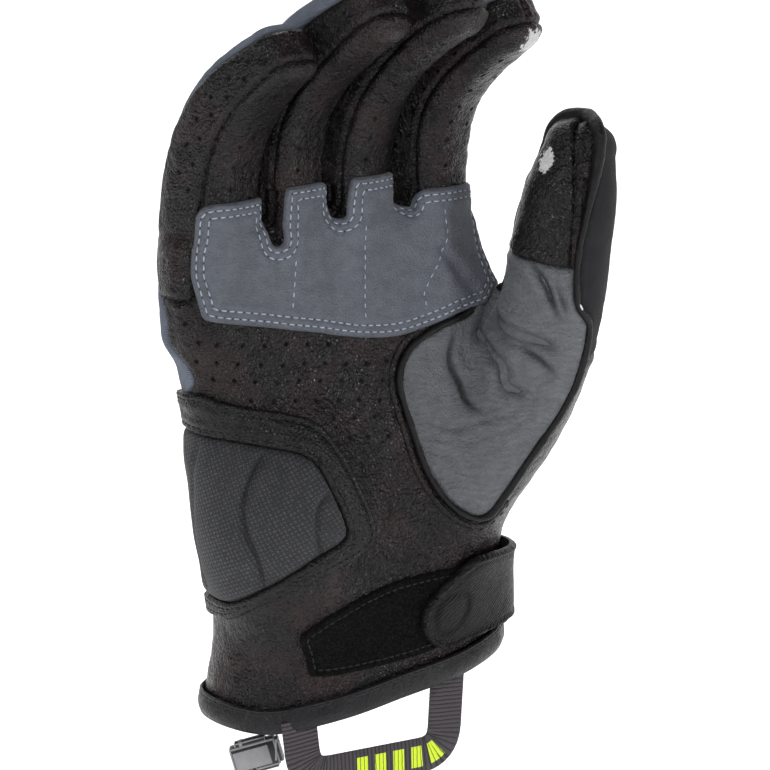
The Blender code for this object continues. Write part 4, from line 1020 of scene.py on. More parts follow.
def suede(name, color, rough=0.6, nap=0.10, sheen=0.10, wave=0.0):
    k = Look(name, color, rough, specular=0.4, sheen=sheen, sheen_rough=0.35)
    soft = k.noise(0.28, 4.0, 0.6)
    fuzz = k.noise(5.0, 3.0, 0.7)
    k.raise_by(fuzz, nap)
    k.raise_by(k.cells(1.25), -nap * 2.4)
    k.raise_by(k.ramp(k.cells(1.1, "DISTANCE_TO_EDGE"), 0.0, 0.25), nap * 1.1)
    if wave:  # fine wrinkles lying across the panel
        x, y, z = k.apart(k.place)
        bent = k.math("ADD", k.math("MULTIPLY", z, 1.0), k.math("MULTIPLY", k.noise(0.16, 3.0), 7.0))
        row = k.math("SINE", k.math("MULTIPLY", bent, 2 * math.pi / 2.1))
        row2 = k.math("SINE", k.math("MULTIPLY", k.math("ADD", bent, k.math("MULTIPLY", k.noise(0.4, 3.0), 3.0)), 2 * math.pi / 1.1))
        k.raise_by(k.math("MULTIPLY", row, k.ramp(k.noise(0.13, 2.0), 0.35, 0.62)), wave)
        k.raise_by(k.math("MULTIPLY", row2, k.ramp(k.noise(0.2, 2.0), 0.35, 0.62)), wave * 0.5)
        # painted light and shade: the wrinkles lighter on their crests and darker in their troughs
        k.shade(k.ramp(row, -1.0, 1.0, 0.92, 1.06))
    k.raise_by(k.noise(0.12, 3.0), 0.7)
    k.shade(k.ramp(soft, 0.25, 0.75, 0.84, 1.16))
    k.shade(k.ramp(fuzz, 0.25, 0.75, 0.86, 1.14))
    # painted shade in the seam grooves and folds, by the crease value
    k.shade(k.ramp(k.value("crease"), 0.0, 0.9, 1.0, 0.16))
    k.shade(k.ramp(k.value("edge"), 0.0, 1.2, 0.8, 1.0))
    k.roughen(k.ramp(fuzz, 0.3, 0.7, rough - 0.06, rough + 0.08))
    return k


def woven(name, color, light, pitch=1.25, rough=0.7, depth=0.22):
    """A plain heavy weave: warp and weft pass over each other in turn."""
    k = Look(name, color, rough, specular=0.35, sheen=0.12, sheen_rough=0.4)
    wob = k.noise(0.6, 2.0)
    u, v, _ = k.apart(k.flat())
    a = k.math("MULTIPLY", k.math("ADD", k.math("ADD", u, k.math("MULTIPLY", v, 0.45)), k.math("MULTIPLY", wob, 0.8)), math.pi / pitch)
    b = k.math("MULTIPLY", k.math("SUBTRACT", v, k.math("MULTIPLY", u, 0.45)), math.pi / pitch)
    sa, sb = k.math("SINE", a), k.math("SINE", b)
    over = k.math("MULTIPLY", sa, sb)
    warp = k.math("ABSOLUTE", k.math("SINE", k.math("MULTIPLY", a, 2.0)))
    weft = k.math("ABSOLUTE", k.math("SINE", k.math("MULTIPLY", b, 2.0)))
    up = k.math("GREATER_THAN", over, 0.0)
    thread = k.math("ADD", k.math("MULTIPLY", up, warp), k.math("MULTIPLY", k.math("SUBTRACT", 1.0, up), weft))
    high = k.math("MULTIPLY", thread, k.math("ABSOLUTE", over))
    k.raise_by(high, depth)
    k.tint(k.ramp(k.math("MULTIPLY", high, k.ramp(k.noise(1.2, 3.0), 0.3, 0.7, 0.6, 1.3)), 0.25, 0.95), light)
    k.shade(k.ramp(k.noise(0.2, 3.0), 0.3, 0.7, 0.85, 1.15))
    # painted shade along the pad's edge and quilted grooves, by the crease value
    k.shade(k.ramp(k.value("crease"), 0.0, 1.0, 1.0, 0.3))
    return k


def knit(name, color, rough=0.75, pitch=0.8, depth=0.12, vary=0.2):
    """Fine ribs of stretch fabric."""
    k = Look(name, color, rough, specular=0.15, sheen=0.03, sheen_rough=0.4)
    x, y, z = k.apart(k.place)
    rib = k.math("SINE", k.math("MULTIPLY", k.math("ADD", k.math("ADD", x, y), k.math("MULTIPLY", k.noise(0.8, 2.0), 0.5)), 2 * math.pi / pitch))
    loop = k.math("SINE", k.math("MULTIPLY", z, 2 * math.pi / (pitch * 0.8)))
    k.raise_by(k.math("MULTIPLY", rib, loop), depth)
    k.raise_by(k.noise(0.12, 3.0), 0.35)
    k.shade(k.ramp(k.math("MULTIPLY", rib, loop), -1.0, 1.0, 1 - vary, 1 + vary))
    k.shade(k.ramp(k.noise(0.15, 3.0), 0.3, 0.7, 0.9, 1.1))
    # painted shade in the seam grooves and folds, by the crease value
    k.shade(k.ramp(k.value("crease"), 0.0, 1.0, 1.0, 0.3))
    return k


# ---- seams and outlines ----------------------------------------------------------
def blend(P, palm_value, finger_values, thumb_value=None, reach=2.5):
    fields = [palm_field(P)]
    values = [palm_value]
    high = P[:, 2] > 106
    for name in FINGERS:
        f, v = np.full(len(P), 60.0), np.zeros(len(P))
        if high.any():
            q = tube_coords(P[high], PATHS[name])
            f[high] = tube_field(q, CAP)
            v[high] = finger_values(name, q)
        fields.append(f)
        values.append(v)
    f = np.stack(fields)
    w = np.exp(-(f - f.min(0)) / reach)
    return (w * np.stack(values)).sum(0) / w.sum(0)


def facing(P):
    return blend(P, pattern(P)[1], lambda name, q: q[:, 2] / q[:, 5])


def front_seam(P):
    return blend(P, np.full(len(P), 0.55), lambda name, q: smooth_curve(
        (-24, 0, 30, 60, 80), (0.55, 0.58, 0.62 if name != "index" else 0.45, 0.6 if name != "index" else 0.42, 0.42), q[:, 0]))


def inside_outline(x, y, rows):
    p = np.asarray(rows, float)
    a, b = p, np.roll(p, -1, axis=0)
    best = np.full(len(x), 1e9)
    odd = np.zeros(len(x), bool)
    for (ax, ay), (bx, by) in zip(a, b):
        ex, ey = bx - ax, by - ay
        t = np.clip(((x - ax) * ex + (y - ay) * ey) / (ex * ex + ey * ey + 1e-12), 0, 1)
        best = np.minimum(best, np.hypot(x - ax - t * ex, y - ay - t * ey))
        hit = (ay > y) != (by > y)
        odd ^= hit & (x < (y - ay) / np.where(hit, by - ay, 1) * ex + ax)
    return np.where(odd, best, -best)


def rounded(rows, times=2):
    """An outline with its corners cut twice, which rounds them."""
    p = np.asarray(rows, float)
    for _ in range(times):
        n = np.roll(p, -1, axis=0)
        p = np.stack([p * 0.75 + n * 0.25, p * 0.25 + n * 0.75], 1).reshape(-1, 2)
    return p


def thumb_angle(P):
    q = tube_coords(P, PATHS["thumb"])
    return q, np.degrees(np.arctan2(q[:, 1] / q[:, 4], q[:, 2] / q[:, 5]))


def thumb_front(P):
    q, theta = thumb_angle(P)
    edge = smooth_curve((80, 90, 103, 115, 132, 142, 153), (48, 43, 32, 27, 31, 36, 32), q[:, 0])
    on_thumb = np.minimum(np.minimum(theta + 112, edge - theta) * 0.25, 8 - tube_field(q, THUMB_CAP, 2.5, 2.4))
    on_palm = np.minimum(inside_outline(P[:, 0], P[:, 2], THUMB_PANEL), 20 * (pattern(P)[1] - 0.3))
    t = np.clip((P[:, 2] - 116) / 6, 0, 1)
    return on_palm * (1 - t) + on_thumb * t


def back_side(P):
    a, q = pattern(P)
    ulnar = smooth_curve((-20, 90, 97, 103, 120, 126, 132, 200), (-0.35, -0.35, -0.15, 0.22, 0.3, 0.1, -0.35, -0.35), P[:, 2])
    radial = smooth_curve((-20, 56, 66, 100, 112, 122, 200), (-0.3, -0.3, 0.05, 0.05, 0.0, -0.3, -0.3), P[:, 2])
    t = np.clip((P[:, 0] + 10) / 20, 0, 1)
    thr = ulnar * (1 - t) + radial * t
    return blend(P, 14 * (thr - q), lambda name, q: 12 * ((smooth_curve((-20, 40, 60, 80), (-0.85, -0.8, -0.66, -0.6), q[:, 0]) if name == "pinky" else -0.45) - q[:, 2] / q[:, 5]))


def slot_away(P, pair, bottom, half):
    """Distance outside the slot between two neighbouring tabs."""
    off = np.abs(slot_plane(P, pair))
    return np.hypot(off, np.maximum(bottom + half - P[:, 2], 0)) - half - 0.05 * np.maximum(P[:, 2] - bottom - 4, 0)


def overlay_inside(P):
    a, q = pattern(P)
    bottom = smooth_curve(*np.asarray(OVERLAY_EDGE).T, a)
    top = blend(P, np.full(len(P), 159.0), lambda name, c: np.full(len(P[P[:, 2] > 106]), OVERLAY_TABS[name]), reach=1.0)
    side = 12 * (facing(P) - 0.5)
    end = top - P[:, 2]
    # round corners of the tabs
    corner = 4.5
    tab = np.where((side < corner) & (end < corner), corner - np.hypot(corner - side, corner - end), np.minimum(side, end))
    low = np.minimum(P[:, 2] - bottom, tab)
    off_thumb = 2.0 * (tube_field(tube_coords(P, PATHS["thumb"]), THUMB_CAP, 2.5, 2.4) - 4.0)
    low = np.minimum(low, np.where(P[:, 0] > 25, off_thumb, 60))
    for pair, bottom, half in SLOT_CUTS:
        low = np.minimum(low, slot_away(P, pair, bottom, half))
    return np.minimum(low, np.where(P[:, 2] < 150, a + 47.5, 60))


def cuff_height(x):
    return smooth_curve(*np.asarray(CUFF_EDGE).T, x)


# ---- the skin and its panels ------------------------------------------------------
def base_sheet():
    points, quads = surface_net((-72, -62, -16), (82, 42, 224), GRID)
    points = settle(points, quads, 1)
    a, b, c, d = quads.T
    short = np.linalg.norm(points[a] - points[c], axis=1) < np.linalg.norm(points[b] - points[d], axis=1)
    f = np.concatenate([np.where(short[:, None], np.stack([a, b, c], 1), np.stack([a, b, d], 1)),
                        np.where(short[:, None], np.stack([a, c, d], 1), np.stack([b, c, d], 1))])
    s = Sheet(points, f)
    s.cut(lambda P: cuff_height(P[:, 0]) + 0.8 - P[:, 2], ["palm_leather"], "waste")
    used, idx = np.unique(s.f[s.lab == 0], return_inverse=True)
    return Sheet(s.p[used], idx.reshape(-1, 3))


PANELS = {  # node: material slot
    "palm_leather": "black_leather", "thumb_palm_panel": "thumb_suede", "thumb_tip_panel": "black_leather",
    "thumb_side_strip": "black_leather", "thumb_back_panel": "thumb_knit", "back_panel": "back_knit", "back_cuff": "back_knit",
    "pinky_side_strip": "perforated_leather", "fourchette_pinky_ring": "perforated_leather",
    "fourchette_ring_middle": "perforated_leather", "fourchette_middle_index": "perforated_leather",
    "index_side_strip": "perforated_leather",
}


def cut_panels(s):
    s.cut(thumb_front, ["palm_leather"], "thumb_palm_panel")
    s.cut(lambda P: tube_coords(P, PATHS["thumb"])[:, 0] - THUMB_TIP_FROM, ["thumb_palm_panel"], "thumb_tip_panel")

    def strip(P):
        q, theta = thumb_angle(P)
        return (theta - smooth_curve((112, 122, 139, 148, 156), (22, 17, 4, -8, -14), q[:, 0])) * 0.25
    s.cut(strip, ["thumb_tip_panel"], "thumb_side_strip")

    def knit_back(P):
        q = tube_coords(P, PATHS["thumb"])
        return np.minimum(q[:, 0] - 86, 4 - tube_field(q, THUMB_CAP, 2.5, 2.4))
    s.cut(knit_back, ["palm_leather"], "thumb_back_panel")
    s.cut(back_side, ["palm_leather"], "back_panel")
    s.cut(lambda P: BACK_CUFF_TOP - P[:, 2], ["back_panel"], "back_cuff")
    s.cut(lambda P: np.minimum(12 * (front_seam(P) - facing(P)), P[:, 2] - np.where(P[:, 0] < 0, 128, 121)), ["palm_leather"], "pinky_side_strip")
    across = PATHS["pinky"]["b"][0]
    mids = [float(PATHS[n]["c"][16] @ across) for n in FINGERS]
    last = "pinky_side_strip"
    for name, m in zip(["fourchette_pinky_ring", "fourchette_ring_middle", "fourchette_middle_index", "index_side_strip"], mids):
        s.cut(lambda P: P @ across - m, [last], name)
        last = name
    s.tidy()
    s.smooth_seams(5)


def finger_places(P):
    """Nearest finger of each point (-1 on the hand), and its place along and round it."""
    near = np.full(len(P), -1)
    best = palm_field(P)
    s, th, w = np.zeros(len(P)), np.zeros(len(P)), np.zeros(len(P))
    high = P[:, 2] > 118
    for i, name in enumerate(FINGERS):
        q = tube_coords(P[high], PATHS[name])
        f = np.full(len(P), 60.0)
        f[high] = tube_field(q, CAP)
        win = f < best
        best = np.where(win, f, best)
        near[win] = i
        full = np.zeros((len(P), 6))
        full[high] = q
        s[win] = full[win, 0]
        th[win] = np.degrees(np.arctan2(full[win, 1] / full[win, 4], full[win, 2] / full[win, 5]))
    return near, s, th


def hole_centres(P, n, a, q, near, s, th):
    """Perforations: staggered rows on the palm and along the fingers."""
    found = []
    z = P[:, 2]
    front = np.where((q > 0.15) & (near < 0) & (P[:, 0] < 30) & (z > 84) & (z < 124))[0]
    for i in range(7):
        for j in range(12):
            a0, z0 = -55.5 + 6.7 * j + (3.35 if i % 2 else 0) + 0.9 * i, 121.5 - 5.4 * i - 0.08 * (6.7 * j)
            k = np.array([a0]), np.array([z0])
            clear = min(smooth_curve(*np.asarray(OVERLAY_EDGE).T, k[0])[0] - z0 - 2.2, -inside_outline(k[0], k[1], HEEL_FRAME)[0] - 2.0,
                        16 + 0.35 * (z0 - 90) - a0 if z0 > 100 else 8 - a0)
            if clear < 0:
                continue
            d = np.hypot(a[front] - a0, z[front] - z0)
            m = d.argmin()
            if d[m] < 0.7:
                found.append(front[m])
    for i, name in enumerate(FINGERS):
        mine = np.where(near == i)[0]
        length = FINGERS[name][2]
        for lane, (angle, start) in enumerate(((-20, 20.0), (18, 16.0), (-78, 18.0), (-98, 22.0), (78, 18.0), (98, 22.0))):
            if lane < 2 and name == "index" and lane == 0:
                start = 18.0
            at = start
            while at < length - 7:
                d = np.hypot(s[mine] - at, (th[mine] - angle) * 0.2)
                m = d.argmin()
                if d[m] < 0.8:
                    found.append(mine[m])
                at += 8.2
    return found


def seam_chain(sheet, first, second):
    """Lines of seam points between two sets of panels."""
    e, lab = np.sort(edges_of(sheet.f), axis=1), np.tile(sheet.lab, 3)
    order = np.lexsort((e[:, 1], e[:, 0]))
    e, lab = e[order], lab[order]
    at = np.where((e[1:] == e[:-1]).all(1))[0]
    one, two = [sheet.names.index(x) for x in first], [sheet.names.index(x) for x in second]
    hit = (np.isin(lab[at], one) & np.isin(lab[at + 1], two)) | (np.isin(lab[at], two) & np.isin(lab[at + 1], one))
    near = {}
    for a, b in e[at[hit]].tolist():
        near.setdefault(a, []).append(b)
        near.setdefault(b, []).append(a)
    done, lines = set(), []
    for start in [k for k in near if len(near[k]) == 1] + list(near):
        if start in done:
            continue
        line, at = [start], start
        done.add(start)
        while True:
            ahead = [k for k in near[at] if k not in done]
            if not ahead:
                break
            at = ahead[0]
            done.add(at)
            line.append(at)
        if len(line) > 5:
            lines.append(np.array(line))
    return lines


def swept(points, across, up, section):
    """A tube of any section along a line, closed at its ends."""
    n, m = len(points), len(section)
    sec = np.asarray(section, float)
    v = np.concatenate([points[i] + np.outer(sec[:, 0], across[i]) + np.outer(sec[:, 1], up[i]) for i in range(n)])
    f = []
    for i in range(n - 1):
        for k in range(m):
            l = (k + 1) % m
            f.append([i * m + k, i * m + l, (i + 1) * m + l, (i + 1) * m + k])
    f.append(list(range(m))[::-1])
    f.append([(n - 1) * m + k for k in range(m)])
    return v, outward(v, f)


def outward(verts, faces):
    v = np.asarray(verts)
    tri = np.asarray([(f[0], f[i], f[i + 1]) for f in faces for i in range(1, len(f) - 1)])
    volume = np.einsum("ij,ij->i", v[tri[:, 0]], np.cross(v[tri[:, 1]], v[tri[:, 2]])).sum()
    return [f[::-1] for f in faces] if volume < 0 else faces


def ring_section(rx, ry, count=12, cx=0.0, cy=0.0, power=1.0):
    t = np.linspace(0, 2 * np.pi, count, endpoint=False)
    c, s = np.cos(t), np.sin(t)
    return np.stack([cx + rx * np.sign(c) * np.abs(c)**power, cy + ry * np.sign(s) * np.abs(s)**power], -1)


ALL = []


def finish(obj, slot, node=None):
    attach(obj, "root")
    if node:
        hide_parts(node)
    ALL.append(obj)
    return obj


def make_all(M):
    coarse = base_sheet()
    cut_panels(coarse)
    fine = coarse.finer()
    fine.p, n = drawn_on(fine.p)
    seam_points = fine.seam()
    n_soft = averaged(n, fine.f, len(fine.p), 1)
    P = fine.p.copy()
    a, q = pattern(P)
    near, fs, fth = finger_places(P)
    vert_lab = np.zeros(len(P), int)
    vert_lab[fine.f.ravel()] = np.repeat(fine.lab, 3)
    d_seam = distances(P, P[seam_points])
    coarse_n = n[:len(coarse.p)]

    # relief of the skin, mm along the normal, and crease, the painted shade of its grooves
    names = fine.names
    lab_of = {x: i for i, x in enumerate(names)}
    black = np.isin(vert_lab, [lab_of[x] for x in PANELS if PANELS[x] in ("black_leather", "perforated_leather")])
    knit_side = ~black
    h = -0.75 * bump_of(d_seam, 0.7) + 0.28 * bump_of(d_seam - 2.0, 1.1)
    # crease is painted shade: the materials darken the colour in the seam grooves by it
    crease = 0.75 * bump_of(d_seam, 0.55)
    wrinkle = np.abs(noise(P, (9, 9, 6.5), 3)) + 0.5 * np.abs(noise(P, (4.5, 4.5, 3.2), 5))
    amount = np.where(near >= 0, 0.42, 0.30)
    thumb_q, thumb_th = thumb_angle(P)
    on_thumb = tube_field(thumb_q, THUMB_CAP, 2.5, 2.4) < 1.0
    amount = np.where(on_thumb, 0.35, amount)
    h += amount * (wrinkle - 0.35) * np.where(black, 1.0, 0.6)
    strip = vert_lab == lab_of["thumb_side_strip"]
    h += np.where(strip, 0.9 * np.abs(noise(P, (3.2, 3.2, 2.6), 11)) - 0.35, 0)
    for depth, width, rows in FOLDS:
        line = smooth_line(rows)
        lo, hi = line.min(0) - 9, line.max(0) + 9
        box = np.where(((P > lo) & (P < hi)).all(1))[0]
        d, t = along_line(P[box], line)
        taper = np.sqrt(np.clip(np.sin(np.pi * np.clip(t, 0.02, 0.98)), 0, 1))
        h[box] += taper * depth * (-bump_of(d, width) + 0.34 * bump_of(d - 2.2 * width, 1.5 * width))
        # painted shade in the fold's groove
        crease[box] = np.maximum(crease[box], taper * min(depth / 1.2, 1.0) * bump_of(d, width * 0.75))

    for pair, bottom, half in SLOT_CUTS:
        gap = slot_away(P, pair, bottom, half) + half
        deep = np.where((facing(P) > 0.35) & (near < 0) | (P[:, 2] < 158) & (facing(P) > 0.35), bump_of(np.maximum(gap, 0), half), 0)
        h -= 1.1 * deep
        # painted shade down the slot between the tabs
        crease = np.maximum(crease, 0.9 * deep)

    # perforations
    ring = {}
    for i, j in np.unique(np.sort(edges_of(fine.f), axis=1), axis=0).tolist():
        ring.setdefault(i, []).append(j)
        ring.setdefault(j, []).append(i)
    # hole marks where the materials paint the perforations near-black, painted shade for their depth
    hole = np.zeros(len(P))
    ok_holes = np.isin(vert_lab, [lab_of[x] for x in ("palm_leather", "pinky_side_strip", "fourchette_pinky_ring", "fourchette_ring_middle", "fourchette_middle_index", "index_side_strip")])
    for v in hole_centres(P, n, a, q, near, fs, fth):
        if d_seam[v] < 1.6 or not ok_holes[v]:
            continue
        for o in ring[v]:
            away = P[o] - P[v]
            away -= (away @ n[v]) * n[v]
            P[o] = P[v] + away / np.linalg.norm(away) * 0.8
            hole[o] = max(hole[o], 0.25)
        hole[v] = 1.0
        h[v] -= 0.8
    skin = P + n * h[:, None]
    uv = np.stack([a, fine.p[:, 2]], -1)
    silver = np.zeros(len(P))
    silver = np.maximum(silver, bump_of(np.linalg.norm((P - np.array([44.6, -35.4, 164.6])) / np.array([3.8, 4.2, 6.0]), axis=1), 1.0))
    silver = np.maximum(silver, bump_of(np.linalg.norm((P - np.array([39.2, -36.0, 198.6])) / np.array([5.5, 5.5, 6.0]), axis=1), 1.0))

    for name, slot in PANELS.items():
        chosen = np.where(coarse.lab == coarse.names.index(name))[0]
        low = coarse.p - coarse_n * SKIN
        verts, faces, top_used, low_used = wall(coarse, fine, low, skin, chosen)
        m = len(low_used)
        pad_out = lambda v, fill=0.0: np.concatenate([v[top_used], np.full(m, fill)])
        uvs = np.concatenate([uv[top_used], uv[low_used]])
        # crease and hole reach the materials as painted shade
        obj = new_object("skin_" + name, verts, faces, M[name if name in M else slot], uv=uvs,
                         values={"edge": pad_out(d_seam, 5.0), "hole": pad_out(hole), "crease": pad_out(crease), "silver": pad_out(silver)})
        finish(obj, slot, name)
    return coarse, fine, n_soft, a, q, skin


def patch(name, node, slot, material, fine, normals, phi, low, high, skin=None, hole=None, round_over=1.1, relief=None, smooth=6):
    """A piece sewn on top: its faces are cut from the fine skin and built up."""
    v = np.full(len(fine.p), -9.0)
    v = in_chunks(phi, fine.p)
    chosen = (v[fine.f] > -2.5).any(1)
    used, f = np.unique(fine.f[chosen], return_inverse=True)
    s = Sheet(fine.p[used].copy(), f.reshape(-1, 3))
    n = normals[used]
    s.cut(phi, ["palm_leather"], "patch")
    if hole is not None:
        s.cut(hole, ["patch"], "hole")
    s.tidy(200)
    s.smooth_seams(smooth)
    f = s.f[s.lab == s.names.index("patch")]
    rim = np.unique(rim_of(f))
    d = distances(s.p, s.p[rim]) if len(rim) else np.full(len(s.p), 9.0)
    t = np.clip(d / round_over, 0, 1)
    low_v = low(s.p) if callable(low) else np.full(len(s.p), float(low))
    high_v = high(s.p) if callable(high) else np.full(len(s.p), float(high))
    if relief is not None:
        high_v = high_v + relief(s.p, d)
    high_v = low_v + (high_v - low_v) * (0.42 + 0.58 * np.sqrt(1 - (1 - t)**2))
    verts, faces, used2 = slab(s.p, f, low_v, high_v, n)
    aa, _ = pattern(s.p[used2])
    uv = np.stack([aa, s.p[used2][:, 2]], -1)
    count = len(used2)
    values = {"edge": np.concatenate([d[used2], d[used2]])}
    # crease carries painted shade for the relief's grooves
    if relief is not None and hasattr(relief, "crease"):
        values["crease"] = np.tile(relief.crease(s.p[used2], d[used2]), 2)
    obj = new_object(name, verts, faces, material, uv=np.concatenate([uv, uv]), values=values, smooth_angle=60)
    finish(obj, slot, node)
    top = s.p + n * high_v[:, None]
    return dict(p=top, n=n, f=f, d=d, flat=s.p)


def sew(bits, info, value, level, pitch=3.0, size=(1.12, 0.27, 0.27), lift=0.1, keep=None, shift=0.0):
    shape = stitch_shape()
    for q, m in contours(info["p"], info["n"], info["f"], value, level):
        at, nm, ahead = evened(q, m, pitch)
        at = at + ahead * pitch * shift
        side = np.cross(nm, ahead)
        side /= np.maximum(np.linalg.norm(side, axis=1), 1e-9)[:, None]
        up = np.cross(ahead, side)
        for i in range(len(at)):
            if keep is not None and not keep(at[i]):
                continue
            bits.put(shape, at[i] + up[i] * lift, ahead[i], side[i], up[i], size)


# ---- materials of this glove -------------------------------------------------------
def materials():
    M = {}
    black = srgb(20, 17, 18)
    warm = srgb(42, 29, 31)
    M["black_leather"] = leather("black leather", black, 0.27, warm=warm, holes=True).done()
    M["perforated_leather"] = leather("side leather", srgb(19, 17, 18), 0.27, warm=warm, holes=True).done()
    M["frame_leather"] = leather("frame leather", srgb(21, 19, 20), 0.3, crease=0.08, warm=None).done()
    tip = leather("thumb tip leather", srgb(23, 21, 22), 0.25, warm=None)
    foil = tip.math("MULTIPLY", tip.ramp(tip.math("ADD", tip.value("silver"), tip.math("MULTIPLY", tip.math("SUBTRACT", tip.noise(0.55, 5.0, 0.7), 0.5), 1.5)), 0.62, 0.66), 1.0)
    tip.tint(foil, srgb(196, 196, 196))
    M["thumb_tip_panel"] = tip.done()
    palm = leather("palm leather", black, 0.27, warm=warm, holes=True)
    foil = palm.ramp(palm.math("ADD", palm.value("silver"), palm.math("MULTIPLY", palm.math("SUBTRACT", palm.noise(0.55, 5.0, 0.7), 0.5), 1.5)), 0.62, 0.66)
    palm.tint(foil, srgb(196, 196, 196))
    M["palm_leather"] = palm.done()
    M["index_side_strip"] = M["perforated_leather"]
    M["grey_microfibre"] = suede("grey microfibre", srgb(84, 88, 96)).done()
    M["thumb_suede"] = suede("grey suede", srgb(86, 88, 92), 0.42, nap=0.11, wave=0.07).done()
    M["pad_fabric"] = woven("woven pad", srgb(30, 30, 33), srgb(76, 79, 82)).done()
    M["loop_fabric"] = fuzz("brushed loops", srgb(11, 10, 11)).done()
    M["back_knit"] = knit("back fabric", srgb(98, 104, 116)).done()
    M["thumb_knit"] = knit("thumb knit", srgb(38, 37, 40), pitch=0.7).done()
    M["strap_leather"] = strap_look("strap leather", srgb(17, 16, 17)).done()
    M["binding_leather"] = leather("binding", srgb(24, 23, 26), 0.36, grain=1.6, depth=0.06, crease=0.12).done()
    M["webbing"] = webbing("webbing", srgb(62, 58, 62)).done()
    M["thread_blue"] = thread("light thread", srgb(150, 160, 176)).done()
    M["thread_black"] = thread("black thread", srgb(16, 15, 16)).done()
    M["thread_white"] = thread("white thread", srgb(200, 204, 210)).done()
    M["piping"] = leather("piping leather", srgb(20, 19, 21), 0.38, grain=1.8, depth=0.06, crease=0.1).done()
    M["clip_grey"] = plastic("grey plastic", srgb(128, 128, 131), 0.36).done()
    M["clip_black"] = plastic("black plastic", srgb(18, 18, 20), 0.35).done()
    return M


def fuzz(name, color):
    k = Look(name, color, 0.9, specular=0.12)
    tuft = k.cells(1.3)
    hair = k.noise(3.5, 4.0, 0.75, distortion=1.5)
    k.raise_by(tuft, -0.9)
    k.raise_by(hair, 0.5)
    k.shade(k.ramp(tuft, 0.1, 0.7, 2.4, 0.3))
    k.shade(k.ramp(hair, 0.35, 0.75, 0.6, 2.2))
    k.shade(k.ramp(k.noise(0.3, 3.0), 0.3, 0.7, 0.8, 1.25))
    return k


def strap_look(name, color):
    """Leather pressed with a fine slanting grain."""
    k = Look(name, color, 0.42, specular=0.14)
    u, v, _ = k.apart(k.flat())
    bent = k.math("MULTIPLY", k.math("SUBTRACT", k.noise(0.5, 3.0), 0.5), 2.2)
    line = k.math("SINE", k.math("MULTIPLY", k.math("ADD", k.math("ADD", v, k.math("MULTIPLY", u, -0.75)), bent), 2 * math.pi / 1.15))
    k.raise_by(line, 0.07)
    k.raise_by(k.noise(1.3, 4.0), 0.16)
    k.raise_by(k.noise(0.12, 3.0), 0.5)
    k.shade(k.ramp(line, -1.0, 1.0, 0.82, 1.15))
    rub = k.math("MULTIPLY", k.ramp(k.value("edge"), 0.0, 1.5, 1.0, 0.0), k.ramp(k.noise(0.5, 3.0), 0.4, 0.65))
    k.shade(k.math("ADD", k.math("MULTIPLY", rub, 0.5), 1.0))
    # painted shade in the pressed recesses, by the crease value
    k.shade(k.ramp(k.value("crease"), 0.0, 1.0, 1.0, 0.35))
    k.roughen(k.ramp(k.noise(0.8, 3.0), 0.3, 0.7, 0.34, 0.52))
    return k


def webbing(name, color):
    """Ribs across the band: u runs along it and v across it, in mm."""
    k = Look(name, color, 0.65, specular=0.3)
    u, v, _ = k.apart(k.flat())
    wob = k.math("MULTIPLY", k.noise(0.8, 2.0), 0.3)
    rib = k.math("ABSOLUTE", k.math("SINE", k.math("MULTIPLY", k.math("ADD", u, wob), math.pi / 1.25)))
    yarn = k.math("ABSOLUTE", k.math("SINE", k.math("MULTIPLY", k.math("ADD", v, k.math("MULTIPLY", u, 0.35)), math.pi / 0.62)))
    k.raise_by(k.math("POWER", rib, 0.6), 0.22)
    k.raise_by(yarn, 0.07)
    k.shade(k.ramp(rib, 0.0, 0.9, 0.42, 1.15))
    k.shade(k.ramp(yarn, 0.0, 0.6, 0.75, 1.08))
    # generic bars of a yellow-green print on the lower run, worn along the ribs
    start, end = 30.0, 62.0
    bar = k.math("MODULO", k.math("SUBTRACT", u, start), 6.0)
    in_bar = k.math("MULTIPLY", k.math("GREATER_THAN", bar, 2.4), k.math("MULTIPLY", k.math("GREATER_THAN", u, start), k.math("LESS_THAN", u, end)))
    in_width = k.math("MULTIPLY", k.math("GREATER_THAN", v, 2.2), k.math("LESS_THAN", v, 8.8))
    worn = k.ramp(rib, 0.12, 0.3)
    k.tint(k.math("MULTIPLY", k.math("MULTIPLY", in_bar, in_width), worn), srgb(206, 230, 52))
    return k


def thread(name, color):
    k = Look(name, color, 0.6, specular=0.35, sheen=0.1, sheen_rough=0.4)
    k.shade(k.ramp(k.noise(1.0, 3.0), 0.3, 0.7, 0.8, 1.2))
    k.raise_by(k.noise(6.0, 2.0), 0.05)
    return k


def plastic(name, color, rough):
    k = Look(name, color, rough, specular=0.5)
    k.raise_by(k.noise(2.5, 3.0), 0.04)
    k.shade(k.ramp(k.noise(0.4, 3.0), 0.3, 0.7, 0.93, 1.06))
    k.roughen(k.ramp(k.noise(1.0, 3.0), 0.3, 0.7, rough - 0.06, rough + 0.08))
    return k


# ---- pieces sewn on top -------------------------------------------------------------
def pat(P, rows):
    a, q = pattern(P)
    return np.minimum(inside_outline(a, P[:, 2], rows), 30 * (q + 0.33))


